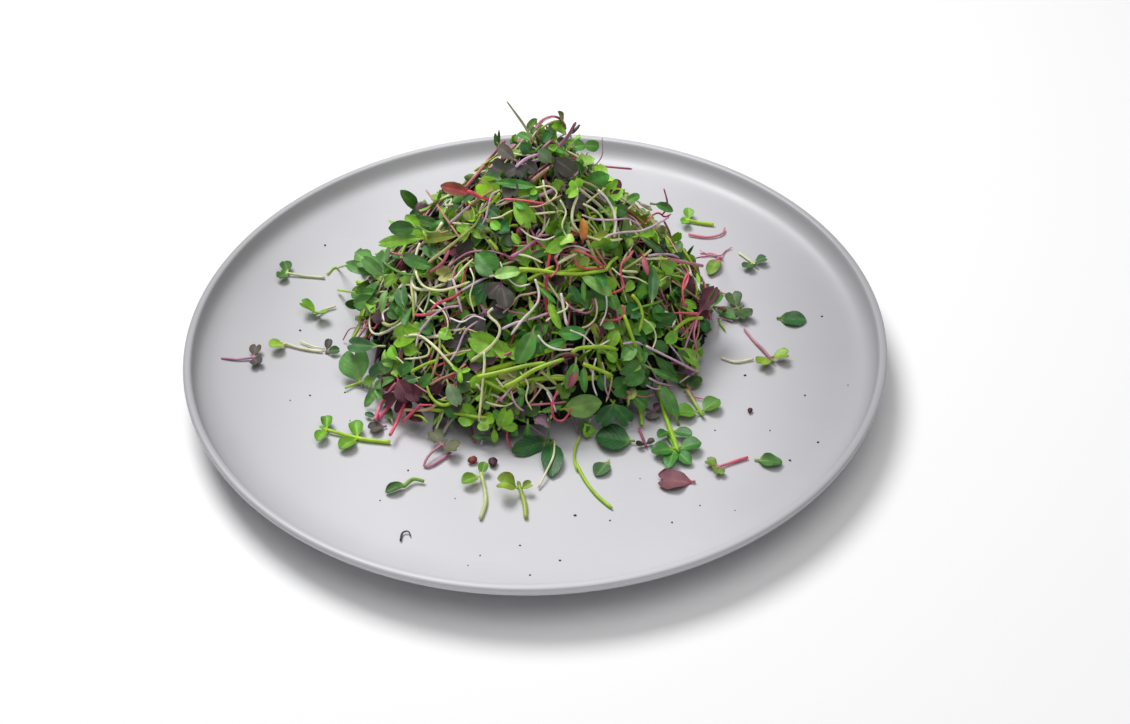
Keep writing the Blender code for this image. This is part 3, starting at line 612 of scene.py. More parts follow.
# looks: stem colours run from the cut end to the leaves
LOOKS = {
    "radish": dict(stem=(srgb(232, 228, 204), srgb(168, 196, 92)), top=srgb(112, 162, 34), under=srgb(150, 182, 84),
                   vein=srgb(172, 204, 90), edge=srgb(96, 142, 30), edging=0.4, leaf_mat=M_LEAF, r=(0.62, 0.80)),
    "radish_pink": dict(stem=(srgb(226, 120, 150), srgb(214, 132, 152)), top=srgb(88, 136, 34), under=srgb(132, 136, 80),
                        vein=srgb(164, 176, 90), edge=srgb(110, 104, 56), leaf_mat=M_LEAF, r=(0.52, 0.70)),
    "purple": dict(stem=(srgb(206, 160, 190), srgb(170, 116, 146)), top=srgb(84, 82, 74), under=srgb(112, 84, 100),
                   vein=srgb(140, 120, 126), foot=srgb(156, 112, 136), edge=srgb(76, 64, 66), hue=0.08,
                   leaf_mat=M_DULL, r=(0.46, 0.62)),
    "pea": dict(stem=(srgb(160, 200, 40), srgb(146, 194, 40)), top=srgb(54, 116, 40), under=srgb(108, 158, 78),
                vein=srgb(118, 168, 76), edge=srgb(46, 102, 36), leaf_mat=M_LEAF, r=(0.85, 1.05), veins=0.6),
    "pea_bright": dict(stem=(srgb(172, 208, 36), srgb(160, 204, 34)), top=srgb(112, 172, 46), under=srgb(146, 188, 88),
                       vein=srgb(176, 212, 104), edge=srgb(96, 156, 38), leaf_mat=M_LEAF, r=(0.8, 1.05), veins=0.6),
    "dark": dict(stem=(srgb(126, 164, 66), srgb(110, 150, 60)), top=srgb(36, 88, 40), under=srgb(84, 134, 72),
                 vein=srgb(84, 138, 72), edge=srgb(30, 76, 34), leaf_mat=M_LEAF, r=(0.6, 0.8)),
    "kale": dict(stem=(srgb(226, 226, 196), srgb(184, 200, 128)), top=srgb(74, 124, 52), under=srgb(124, 158, 98),
                 vein=srgb(146, 182, 108), edge=srgb(66, 110, 48), leaf_mat=M_DULL, r=(0.44, 0.60)),
    "burgundy": dict(stem=(srgb(216, 96, 132), srgb(190, 70, 106)), top=srgb(94, 44, 60), under=srgb(116, 68, 78),
                     vein=srgb(142, 80, 94), foot=srgb(170, 76, 104), edge=srgb(76, 34, 50), leaf_mat=M_DULL,
                     r=(0.6, 0.78)),
    "beet": dict(stem=(srgb(228, 72, 108), srgb(216, 74, 100)), top=srgb(88, 118, 32), under=srgb(164, 62, 66),
                 vein=srgb(204, 74, 90), foot=srgb(206, 68, 94), edge=srgb(140, 76, 44), edging=0.8,
                 leaf_mat=M_LEAF, r=(0.5, 0.62), veins=0.9),
    "cream": dict(stem=(srgb(236, 230, 206), srgb(216, 220, 172)), top=srgb(140, 184, 58), under=srgb(168, 196, 106),
                  vein=srgb(196, 216, 132), edge=srgb(126, 168, 48), leaf_mat=M_LEAF, r=(0.5, 0.70)),
    "cress": dict(stem=(srgb(196, 212, 120), srgb(150, 188, 66)), top=srgb(96, 154, 38), under=srgb(132, 176, 80),
                  vein=srgb(148, 194, 82), edge=srgb(84, 138, 34), leaf_mat=M_LEAF, r=(0.46, 0.60)),
    "hull": dict(stem=(srgb(96, 50, 44), srgb(84, 40, 36)), top=srgb(78, 42, 38), under=srgb(60, 34, 30),
                 leaf_mat=M_HULL, r=(0.3, 0.4)),
    "brown": dict(stem=(srgb(180, 132, 106), srgb(190, 148, 120)), top=srgb(98, 142, 40), under=srgb(128, 160, 84),
                  leaf_mat=M_LEAF, r=(0.5, 0.6)),
    "red_dark": dict(stem=(srgb(190, 104, 118), srgb(164, 84, 100)), top=srgb(122, 78, 88), under=srgb(130, 86, 92),
                     vein=srgb(160, 108, 116), edge=srgb(110, 66, 78), leaf_mat=M_DULL, r=(0.6, 0.7)),
    "lilac": dict(stem=(srgb(222, 190, 212), srgb(196, 150, 182)), top=srgb(84, 82, 74), under=srgb(112, 84, 100),
                  leaf_mat=M_DULL, r=(0.42, 0.58)),
    "red": dict(stem=(srgb(226, 84, 116), srgb(206, 70, 96)), top=srgb(88, 118, 32), under=srgb(164, 62, 66),
                leaf_mat=M_LEAF, r=(0.42, 0.56)),
    "lime": dict(stem=(srgb(176, 208, 60), srgb(150, 190, 48)), top=srgb(112, 172, 46), under=srgb(146, 188, 88),
                 leaf_mat=M_LEAF, r=(0.5, 0.85)),
}


def stem(batch, pts, r0, r1, look, n=16, sides=8, c0=None, c1=None, r=None):
    r = r or rng
    p, total = resample(pts, n)
    t = np.linspace(0, 1, n)
    rad = (r0 + (r1 - r0) * t) * (1 + 0.06 * np.sin(t * 9 + r.uniform(0, 6)))
    rad[-1] *= 0.55
    rad[0] *= 0.9
    a, b = np.array(c0 or look["stem"][0]), np.array(c1 or look["stem"][1])
    k = (0.92 + 0.16 * r.random())
    cols = (a * (1 - t[:, None]) + b * t[:, None]) * k
    cols = cols * (1 + 0.07 * np.sin(t * 13 + r.uniform(0, 6)))[:, None]
    tube(batch, p, rad, cols, M_STEM, sides)
    return p, total


def petiole(batch, a, b, r0, r1, look, bend=None):
    a, b = Vector(a), Vector(b)
    mid = (a + b) / 2 + (Vector(bend) if bend is not None else Vector((0, 0, 0)))
    p, _ = resample([a, mid, b], 4)
    c = np.array(look["stem"][1])
    f = np.array(look.get("foot", look["stem"][1]))
    cols = np.array([c, c, (c + f) / 2, f])
    tube(batch, p, np.linspace(r0, r1, 4), cols, M_STEM, 6)


def lift_clear(batch, first, least):
    """Raise what was added since first so that nothing dips below least."""
    low = min(float(v[:, 2].min()) for v in batch.v[first:])
    if low < least:
        for v in batch.v[first:]:
            v[:, 2] += least - low


# ---------------------------------------------------------------------------
# sprouts that the CAD holds one by one
# ---------------------------------------------------------------------------
KIND = {"heart": "heart", "oval": "oval", "long": "long", "small": "coty"}


def raised(verts):
    """How far a set of points must rise to stay clear of heap and plate."""
    return max(0.0, max(surface(x, y) - 0.9 - z for x, y, z in verts[::5]))


def sprout(name, slot, look, knots, r0, r1, hubs=(), pitch=7.0, cup=None, wave=0.03, twist=0.0, bud=True):
    look = LOOKS[look]
    batch = Batch(name, slot)
    batch.mats = []
    r_big = max(r0, r1)
    path = spline([Vector((x, y, surface(x, y) + r_big + lift)) for x, y, lift in knots])
    arr, total = resample(path, max(10, int(len(knots) * 6)))
    # a stem rests on what lies below it
    for p in arr:
        p[2] = max(p[2], surface(p[0], p[1]) + min(r0, r1) * 0.9)
    stem(batch, arr, r0, r1, look, n=max(14, int(total / 1.6)), sides=10)
    d_all = np.concatenate([[0], np.cumsum(np.linalg.norm(np.diff(arr, axis=0), axis=1))])

    def point(s):
        return np.array([np.interp(s, d_all, arr[:, i]) for i in range(3)])
    for b, leaves in hubs:
        s = d_all[-1] - b
        c = Vector(point(s))
        d = Vector(point(min(s + 1, d_all[-1])) - point(s - 1)).normalized()
        up = normal(c.x, c.y)
        if abs(d.dot(up)) > 0.93:
            up = Vector((0, -1, 0)) if abs(d.y) < 0.8 else Vector((1, 0, 0))
        up = (up - d * up.dot(d)).normalized()
        right = d.cross(up).normalized()
        for side, length, width, angle, rise0, rise1, kind, cp in leaves:
            t = math.radians(angle)
            axis = (right * side) * math.cos(t) + d * math.sin(t)
            start = c + axis * (r_big * 0.3)
            foot = start + (axis + up * rise0 * 0.6).normalized() * (length * 0.16)
            first = len(batch.v)
            petiole(batch, start, foot, min(r1, 0.6), 0.42, look)
            tint = dict(look)
            leaf_mesh(batch, foot - axis * 0.3, axis, up, length * 0.88, width, KIND[kind], tint, rise0, rise1,
                      (cp if cup is None else cup) * 3.0, wave, twist)
            need = raised(batch.v[-1])
            if need > 0:
                for v in batch.v[first:]:
                    v[:, 2] += need * (1.0 if len(v) > 60 else 0.5)
        if bud and len(leaves) > 1 and b < 4:
            leaf_mesh(batch, c + d * 0.6, d, up, 2.6, 1.6, "long", look, 0.5, 0.1, 0.6)
    batch.replaces = [name]
    batch.name = "v_" + name
    return batch.build()


def leaf(name, slot, look, x, y, heading, length, width, lift=0.0, rise0=0.0, rise1=0.0, kind="oval", cup=0.1,
         tilt=0.0, wave=0.03, curl=0.0):
    look = LOOKS[look]
    batch = Batch("v_" + name, slot, [name])
    a = math.radians(heading)
    up = normal(x + 4 * math.cos(a), y + 4 * math.sin(a))
    axis = Vector((math.cos(a), math.sin(a), 0))
    axis = (axis - up * axis.dot(up)).normalized()
    across = up.cross(axis).normalized()
    up = (up * math.cos(math.radians(tilt)) + across * math.sin(math.radians(tilt))).normalized()
    c = Vector((x, y, surface(x, y) + 0.5 + lift))
    petiole(batch, c - axis * 0.2, c + axis * (length * 0.14), 0.5, 0.42, look)
    leaf_mesh(batch, c + axis * (length * 0.10), axis, up, length * 0.90, width, kind, look, rise0, rise1,
              cup * 3.0, wave)
    need = raised(batch.v[-1])
    for v in batch.v:
        v[:, 2] += need
    return batch.build()


def hull_mesh(batch, c, ax, bx, cx, long_r, wide_r, high_r, look, r=None, dent=0.2):
    """An open wrinkled seed hull, as a pinched closed shell."""
    r = r or rng
    n, m = 9, 10
    a, b, u = (np.array(q, float) for q in (ax, bx, cx))
    pts, cols = [], []
    base = np.array(look["top"])
    ph = r.uniform(0, 6.28)
    ts = np.linspace(-1, 1, n)
    rings = []
    for t in ts:
        w = math.sqrt(max(0.02, 1 - t * t)) * (1 + 0.18 * t)
        ring = []
        for k in range(m):
            g = 2 * math.pi * k / m
            y = wide_r * w * math.cos(g)
            z = high_r * w * math.sin(g)
            if math.sin(g) > 0.4:
                z -= dent * high_r * (1 - t * t) * 1.5
            wr = 1 + 0.07 * math.sin(3 * g + 5 * t + ph)
            ring.append(np.array(c, float) + a * long_r * t + b * y * wr + u * z * wr)
        rings.append(ring)
    verts = np.array(rings).reshape(-1, 3)
    idx = np.arange(n * m).reshape(n, m)
    nx = np.roll(idx, -1, 1)
    q = np.stack([idx[:-1], nx[:-1], nx[1:], idx[1:]], -1).reshape(-1, 4)
    s = np.linspace(0, 1, n)
    k = np.arange(m) / m
    A = np.stack(np.broadcast_arrays(k[None, :], s[:-1, None]), -1)
    B = np.stack(np.broadcast_arrays(k[None, :] + 1 / m, s[:-1, None]), -1)
    C = np.stack(np.broadcast_arrays(k[None, :] + 1 / m, s[1:, None]), -1)
    D = np.stack(np.broadcast_arrays(k[None, :], s[1:, None]), -1)
    uv = np.stack([A, B, C, D], -2).reshape(-1, 4, 2)
    caps, cuv = [], []
    for start, rev, e in ((0, True, 0.0), ((n - 1) * m, False, 1.0)):
        for i in range(1, m - 2, 2):
            quad = [start, start + i, start + i + 1, start + i + 2]
            caps.append(quad[::-1] if rev else quad)
            cuv.append([[0.5, e]] * 4)
    f = np.concatenate([q, np.array(caps)])
    uv = np.concatenate([uv, np.array(cuv)])
    cols = np.array([base * (1 + 0.25 * math.sin(7 * i + ph)) for i in range(len(verts))])
    batch.add(verts, f, cols, np.zeros(len(f), int), uv, uv, M_HULL)


def seed(name, slot, x, y, long_r, wide_r, high_r, heading, tone=None):
    look = dict(LOOKS["hull"])
    if tone:
        look["top"] = tone
    batch = Batch("v_" + name, slot, [name])
    a = math.radians(heading)
    hull_mesh(batch, (x, y, surface(x, y) + high_r), (math.cos(a), math.sin(a), 0), (-math.sin(a), math.cos(a), 0),
              (0, 0, 1), long_r, wide_r, high_r, look)
    return batch.build()


def pair(length, width, angle=25, rise0=0.3, rise1=0.1, kind="heart", cup=0.15, end=1.9):
    return (end, [(1, length, width, angle, rise0, rise1, kind, cup),
                  (-1, length * 0.94, width * 0.95, angle - 4, rise0 * 1.2, rise1, kind, cup)])


def one(side, length, width, angle=20, rise0=0.2, rise1=0.0, kind="oval", cup=0.12, end=1.9):
    return (end, [(side, length, width, angle, rise0, rise1, kind, cup)])


def cad_sprouts():
    # left side of the plate
    sprout("sprout_far_left", "leaf_dark", "kale", [(-86, 45, 0), (-95, 46.5, 0), (-103, 48, 0.8)], 0.55, 0.5,
           [pair(6.5, 5.5, 30, kind="small")])
    sprout("sprout_left_curled", "leaf_green", "radish", [(-80, 26, 0.3), (-84, 24, 0.2), (-88, 20, 1.0)], 0.55, 0.6,
           [pair(8, 6.5, 30, 0.8, 0.2)])
    sprout("sprout_left_purple", "leaf_grey_purple", "purple", [(-122, -4, 0), (-115, -5, 0), (-107.5, -4.5, 0.6)],
           0.45, 0.55, [pair(6.5, 5.5, 20, kind="heart")])
    sprout("sprout_left_pale", "stem_cream", "cream", [(-83, -1.5, 0), (-91, 0.5, 0), (-99, 4, 0.4)], 0.55, 0.55,
           [one(-1, 8, 6.5, 30, 0.6, 0.2)])
    sprout("pea_shoot_left", "stem_lime", "pea_bright",
           [(-53.5, -54, 0), (-64, -52, 0), (-72, -49, 0.2), (-79, -46.5, 0.6)], 0.80, 0.65,
           [(1.9, [(1, 6.5, 5.5, 25, 0.5, -0.2, "oval", 0.35), (-1, 7.5, 5.5, 5, 0.4, -0.2, "oval", 0.35)]),
            (14.5, [(1, 8, 6.5, 30, 0.5, -0.1, "oval", 0.3), (-1, 9, 7, 25, 0.3, -0.1, "oval", 0.3)])])
    leaf("bud_left", "leaf_grey_purple", "purple", -55.5, -45.0, 205, 7, 6, 0.2, 0.3, 0.0, "heart", 0.2)

    # front
    sprout("leaf_curled_front", "leaf_dark", "dark_bright", [(-40, -75, 0.2), (-44, -74.5, 0.8), (-47.5, -78, 0.4)], 0.6,
           0.8, [one(1, 8, 5, 66, 0.2, -0.2, "long")], cup=0.4)
    sprout("root_wisp", "hull_brown", "root", [(-47, -103.5, 0), (-46.5, -100, 0.2), (-44.5, -99.5, 0.4),
                                               (-43.5, -101.5, 0)], 0.42, 0.22, [])
    sprout("sprout_pink_loop", "stem_pink", "loop", [(-31, -60, 0.2), (-37, -66, 0), (-40.5, -67, 0), (-38.5, -62.5, 1.8),
                                                     (-33, -57, 2.6)], 0.5, 0.5, [pair(7.5, 6.5, 20, 0.3, 0.1)])
    seed("hull_red", "hull_brown", -23, -64.5, 1.9, 1.6, 1.2, 30, srgb(128, 52, 44))
    seed("hull_dark", "hull_brown", -15.5, -66.0, 2.2, 1.7, 1.3, 100, srgb(62, 34, 44))
    sprout("sprout_arrow_front", "leaf_green", "arrow", [(-19.5, -94, 0), (-17.8, -86, 0), (-18.5, -78, 0.6),
                                                         (-20, -71.5, 1.2)], 0.78, 0.68,
           [(1.9, [(1, 5.5, 4.6, 62, 0.4, 0.0, "oval", 0.3), (-1, 8.0, 6.0, -18, 0.3, -0.1, "oval", 0.3)])], bud=False)
    sprout("sprout_folded_front", "leaf_green", "folded", [(-3.5, -94, 0), (-4, -87, 0.4), (-6, -79.5, 2.0)], 0.85, 0.85,
           [(1.9, [(-1, 9, 8.5, 22, 0.9, -0.4, "heart", 0.35), (1, 4.6, 4.0, 5, 0.5, -0.1, "heart", 0.3)])], cup=0.35)
    sprout("stem_pale_front", "stem_cream", "cream", [(1.0, -79, 0.2), (3.5, -73.5, 1.7), (6.5, -65, 2.2),
                                                      (7, -57.5, 3.0)], 0.45, 0.4, [])
    sprout("stem_lime_front", "stem_lime", "pea_bright", [(14.5, -66.5, 0.2), (17.5, -75, 0), (21.5, -83, 0),
                                                          (27, -90, 0)], 0.62, 0.58, [])

    # front right
    leaf("leaf_round_front_right", "leaf_dark", "dark", 36.2, -56.5, 172, 14.5, 13.5, 0.8, 0.2, -0.05, "round", 0.06)
    leaf("leaf_grey_front_right", "leaf_dark", "kale_dark", 26.5, -65.5, 240, 9.5, 7, 0.0, 0.1, 0.0, "oval", 0.15)
    sprout("sprout_hull_right", "stem_pink", "hull_pink", [(38.3, -49.5, 0.4), (39.4, -54.5, 0.2), (40.6, -59.5, 0.4)],
           0.55, 0.5, [pair(4.0, 3.4, 10, 0.5, 0.2, "small")], bud=False)
    sprout("pea_chain_right", "stem_lime", "pea", [(46, -35, 2.4), (48, -43, 1.6), (50, -53, 0.8), (51.8, -63, 0.8)],
           0.9, 0.9,
           [pair(9.5, 8, 5, 0.2, 0.0, "oval"),
            (11.5, [(1, 6.5, 5, 30, 0.3, 0.0, "oval", 0.2), (-1, 8.5, 6, 40, 0.3, 0.0, "oval", 0.2)])])
    sprout("sprout_bright_right", "leaf_green", "cress", [(57, -31, 2.4), (59.5, -36, 0.8), (62, -43, 0.4)], 0.65, 0.65,
           [pair(9.5, 8, -10, 0.3, 0.0, "oval")])
    leaf("leaf_purple_right", "leaf_purple", "red_dark", 57, -77.5, 176, 13.5, 10.5, 0.0, 0.1, 0.0, "heart", 0.12,
         wave=0.06)
    sprout("sprout_small_right", "stem_pink", "pink_green", [(77, -65.5, 0), (71, -68, 0), (64.5, -71, 0.2)], 0.58, 0.48,
           [pair(5.5, 4.8, 35, 0.3, 0.0)])
    leaf("leaf_bit_right", "leaf_dark", "kale", 79.5, -66.5, 342, 10, 7, 0.0, 0.2, -0.1, "oval", 0.2, wave=0.10)
    sprout("sprout_right", "leaf_green", "pink_bright", [(82, 7, 0), (85, 0, 0), (88.5, -7, 0.5), (91, -13, 0.6)], 0.5,
           0.55, [pair(8, 6.5, 30, 0.5, 0.0)])
    leaf("leaf_oval_right", "leaf_dark", "dark", 95.5, 13.5, 352, 11.5, 9.5, 0.0, 0.0, 0.0, "round", 0.06)
    seed("seed_right", "hull_brown", 80, -40.5, 1.2, 0.95, 0.8, 70)

    # back right
    sprout("sprout_back_right", "leaf_dark", "kale_dark", [(84, 56, 0), (87, 52, 0), (90, 47, 0.5)], 0.5, 0.5,
           [pair(6.5, 5.5, 25, 0.4, 0.0)])
    sprout("sprout_back_long", "leaf_green", "pink_green", [(68, 55, 0.8), (73, 55, 0.2), (77, 52, 0.2)], 0.5, 0.55,
           [one(1, 13, 6, 20, 0.1, 0.0, "long")])
    sprout("stem_pink_back", "stem_pink", "radish_pink", [(64, 69, 0.2), (72, 67, 0), (78, 69, 0.2), (79.5, 73, 0.4)],
           0.55, 0.45, [])
    sprout("pea_shoot_back", "stem_lime", "pea_bright", [(75, 75.5, 0), (69, 77, 0), (63, 79, 0.4)], 0.75, 0.7,
           [pair(6.5, 5, 20, 0.5, 0.1, "oval")])
    sprout("sprout_edge_right", "leaf_dark", "dark_red", [(72.5, 15.5, 0.8), (77, 18, 0.4), (82, 19.5, 0.6)], 0.7, 0.7,
           [pair(9, 7.5, 10, 0.4, 0.0)])
    sprout("stem_pale_right", "stem_cream", "cream", [(71.5, -10, 0.2), (77, -12.5, 0), (84, -11, 0)], 0.45, 0.5, [])

    # on the heap
    sprout("spike_top", "stem_cream", "spike", [(1.5, 8, 0.4), (-1.5, 8.5, 8.0), (-7.5, 9, 23.5)], 0.62, 0.3, [])
    sprout("stem_purple_top", "stem_pink", "tip_purple", [(10, 9, 1.0), (13.5, 9.5, 9.0), (17, 10, 20.0)], 0.85, 0.5,
           [(6.0, [(1, 5.5, 3.2, 55, 0.2, 0.1, "long", 0.2)])])
    sprout("leaf_red_top_left", "leaf_purple", "beet_red", [(-13.5, -1.8, 0.3), (-18.1, -0.8, 4.5), (-22.8, 0.2, 10.0)], 0.7, 0.8,
           [one(-1, 11.5, 5.2, 76, 0.1, -0.25, "long")])
    sprout("pair_grey_top", "leaf_grey_purple", "purple", [(5, 3.5, 1.2), (-2, 2.5, 0.6), (-8.5, 1.5, 0.6)], 0.6, 0.6,
           [pair(9.5, 8, 25, 0.2, 0.0)])
    sprout("pair_grey_top_right", "leaf_grey_purple", "purple", [(3, -5.5, 0.4), (8.5, -3.0, 0.4), (13.5, 0.5, 0.8)],
           0.7, 0.65, [pair(11, 9, 15, 0.2, 0.0)])
    sprout("leaf_left_edge", "leaf_dark", "dark_bright", [(-33, 0, 1.0), (-38.5, 2, 5.0), (-43, 4.5, 12.0)], 0.7, 0.65,
           [one(-1, 11.5, 6.5, 55, 0.3, 0.1)])
    sprout("stem_brown_left", "stem_pink", "brown", [(-25, -10, 0.8), (-30, -6.5, 2.0), (-35, -2, 7.5)], 0.6, 0.5, [])
    sprout("sprout_lobed_left", "leaf_green", "kale_bright", [(-48, -1, 1.2), (-54, 5, 1.4), (-59, 9.5, 1.6)], 0.75,
           0.75, [pair(13, 10.5, 20, 0.2, 0.0)])
    sprout("stem_cream_curl", "stem_cream", "cream", [(-33, 4, 1.0), (-40.5, -1, 0.6), (-45, -9, 0.5),
                                                      (-38, -15.5, 0.6), (-26, -17.5, 0.7)], 0.72, 0.6, [])
    sprout("pea_stem_mid", "stem_lime", "pea_bright", [(29, -15.5, 0.8), (18, -20.0, 0.7), (6, -22.0, 0.8),
                                                       (-3, -21.5, 0.8)], 0.85, 0.8,
           [pair(9.0, 6.5, 35, 0.2, 0.0, "oval")])
    sprout("pair_grey_mid", "leaf_grey_purple", "grey_dark", [(-23.5, -22, 0.8), (-20, -26.5, 0.8), (-16.5, -31.0, 0.9)],
           0.55, 0.6, [pair(9.5, 8, 30, 0.2, 0.0)])
    sprout("stem_red_mid", "stem_pink", "beet", [(5.5, -32, 0.6), (5, -28, 1.8), (6, -22, 5.0), (9, -15.5, 3.8),
                                                 (17, -11.5, 1.2), (27, -9.5, 0.8)], 0.58, 0.52, [])
    leaf("leaf_pea_mid", "leaf_dark", "pea", 15, -26.5, 345, 14.5, 8.5, 0.4, 0.1, 0.0, "oval", 0.15)
    sprout("stem_cream_top", "stem_cream", "cream_white", [(16, 2.5, 0.6), (26, 2.5, 1.4), (31.5, -0.5, 1.2),
                                                           (32, -5.5, 0.8)], 0.62, 0.58, [])
    leaf("leaf_pea_right", "leaf_dark", "pea", 44.5, -3, 272, 17.5, 7.5, 0.4, 0.1, 0.0, "long", 0.15)
    sprout("pea_stem_front", "stem_lime", "pea_bright", [(-21, -43.5, 0.9), (-9, -42.5, 0.8), (3, -40.5, 0.8),
                                                         (12, -37.5, 0.8)], 0.95, 0.9, [])
    sprout("pea_stem_front_low", "stem_lime", "pea_bright", [(-10, -48, 0.8), (1, -46, 0.8), (12, -44.5, 0.8),
                                                             (28, -40.5, 0.9)], 0.9, 0.85, [])
    leaf("leaf_heart_front", "leaf_green", "leaf_light", 9, -50.5, 12, 16, 9.5, 0.3, 0.1, 0.0, "oval", 0.12)
    sprout("sprout_purple_left", "leaf_purple", "burgundy", [(-59, -42, 0.2), (-54.5, -39, 0.8), (-50, -36.5, 1.0)], 0.8,
           0.75, [pair(9, 8, 15, 0.2, 0.0)], wave=0.08)
    sprout("stem_cream_left", "stem_cream", "cream", [(-27, -36.5, 0.6), (-34, -31.5, 0.6), (-44, -27, 0.6)], 0.68, 0.6,
           [pair(6, 5, 30, 0.1, 0.0)])
    sprout("sprout_clover_right", "leaf_dark", "pea", [(30.5, -30, 0.8), (33.5, -34, 0.8), (36.0, -39.5, 0.8)], 0.7, 0.7,
           [pair(8.5, 8.5, 5, 0.1, 0.0)])
    sprout("sprout_burgundy_right", "leaf_purple", "burgundy", [(55, -8, 0.8), (59, -4, 0.8), (62, 1, 0.8)], 0.7, 0.65,
           [pair(8.5, 7, 20, 0.2, 0.0)])


def look(base, **more):
    made = dict(LOOKS[base])
    made.update(more)
    return made


LOOKS["beet_red"] = look("beet", top=srgb(176, 78, 66), under=srgb(190, 76, 78), vein=srgb(216, 84, 100),
                         edge=srgb(112, 122, 38), edging=0.9)
LOOKS["dark_heart"] = look("dark", top=srgb(70, 120, 62), under=srgb(110, 150, 100), vein=srgb(128, 168, 100))
LOOKS["dark_bright"] = look("dark", top=srgb(62, 112, 42), under=srgb(92, 140, 70))
LOOKS["kale_dark"] = look("kale", top=srgb(64, 100, 62), under=srgb(98, 128, 92))
LOOKS["kale_bright"] = look("kale", top=srgb(92, 138, 70), under=srgb(120, 156, 100), leaf_mat=M_LEAF)
LOOKS["leaf_light"] = look("pea_bright", top=srgb(128, 172, 92), under=srgb(150, 184, 118))
LOOKS["root"] = look("hull", stem=(srgb(40, 34, 30), srgb(84, 70, 62)))
LOOKS["loop"] = look("purple", stem=(srgb(196, 124, 152), srgb(176, 124, 136)), top=srgb(110, 116, 84))
LOOKS["arrow"] = look("radish", stem=(srgb(206, 212, 160), srgb(196, 208, 130)), top=srgb(104, 154, 36))
LOOKS["folded"] = look("radish", stem=(srgb(176, 186, 96), srgb(150, 176, 60)), top=srgb(134, 166, 50),
                       under=srgb(150, 176, 84), edge=srgb(150, 96, 70), edging=0.7)
LOOKS["hull_pink"] = look("radish_pink", stem=(srgb(196, 110, 134), srgb(120, 64, 80)), top=srgb(44, 34, 32),
                          under=srgb(52, 40, 38), vein=srgb(60, 46, 44), foot=srgb(60, 40, 44), edge=srgb(36, 28, 26))
LOOKS["pink_green"] = look("radish_pink", stem=(srgb(214, 84, 110), srgb(212, 120, 140)), top=srgb(112, 150, 56))
LOOKS["pink_bright"] = look("radish_pink", stem=(srgb(196, 140, 156), srgb(160, 110, 120)), top=srgb(126, 166, 44))
LOOKS["dark_red"] = look("dark", top=srgb(66, 96, 44), under=srgb(96, 60, 58), stem=(srgb(170, 90, 104), srgb(110, 130, 70)))
LOOKS["spike"] = look("cream", stem=(srgb(188, 196, 140), srgb(150, 158, 120)))
LOOKS["tip_purple"] = look("purple", stem=(srgb(176, 120, 140), srgb(140, 88, 104)))
LOOKS["grey_dark"] = look("purple", top=srgb(66, 66, 60), under=srgb(84, 70, 76))
LOOKS["cream_white"] = look("cream", stem=(srgb(232, 226, 204), srgb(224, 214, 192)))


# ---------------------------------------------------------------------------
# sprouts that can be told apart on the near side of the heap
# ---------------------------------------------------------------------------
LOOKS["olive"] = look("radish", stem=(srgb(200, 200, 140), srgb(150, 160, 80)), top=srgb(104, 118, 34),
                      under=srgb(128, 134, 70), vein=srgb(150, 160, 80), edge=srgb(120, 96, 60), r=(0.5, 0.7))
LOOKS["tan"] = look("cream", stem=(srgb(208, 184, 150), srgb(186, 160, 122)))
LOOKS["mauve"] = look("lilac", stem=(srgb(196, 128, 156), srgb(170, 100, 130)))
LOOKS["rose"] = look("red", stem=(srgb(214, 122, 146), srgb(184, 98, 118)))
LOOKS["coral"] = look("red", stem=(srgb(226, 100, 122), srgb(204, 76, 94)))
LOOKS["white"] = look("cream", stem=(srgb(244, 236, 228), srgb(232, 222, 214)))
LOOKS["butter"] = look("cream", stem=(srgb(240, 236, 200), srgb(222, 222, 160)))
LOOKS["orange"] = look("beet", top=srgb(168, 110, 40), under=srgb(186, 92, 84), vein=srgb(206, 92, 100),
                       edge=srgb(140, 120, 30))
LOOKS["pink_leaf"] = look("beet", top=srgb(178, 92, 108), under=srgb(186, 104, 120), vein=srgb(210, 110, 130),
                          edge=srgb(150, 70, 88))
LOOKS["grey_green"] = look("kale", top=srgb(96, 118, 88), under=srgb(120, 130, 112), vein=srgb(130, 146, 116))
LOOKS["moss"] = look("kale", top=srgb(56, 88, 40), under=srgb(88, 110, 70), vein=srgb(90, 116, 66))
LOOKS["fresh"] = look("pea_bright", top=srgb(122, 176, 44), under=srgb(156, 198, 92), vein=srgb(186, 220, 110),
                      edge=srgb(104, 158, 34))
LOOKS["stalk"] = look("pea", stem=(srgb(110, 164, 60), srgb(96, 150, 56)))

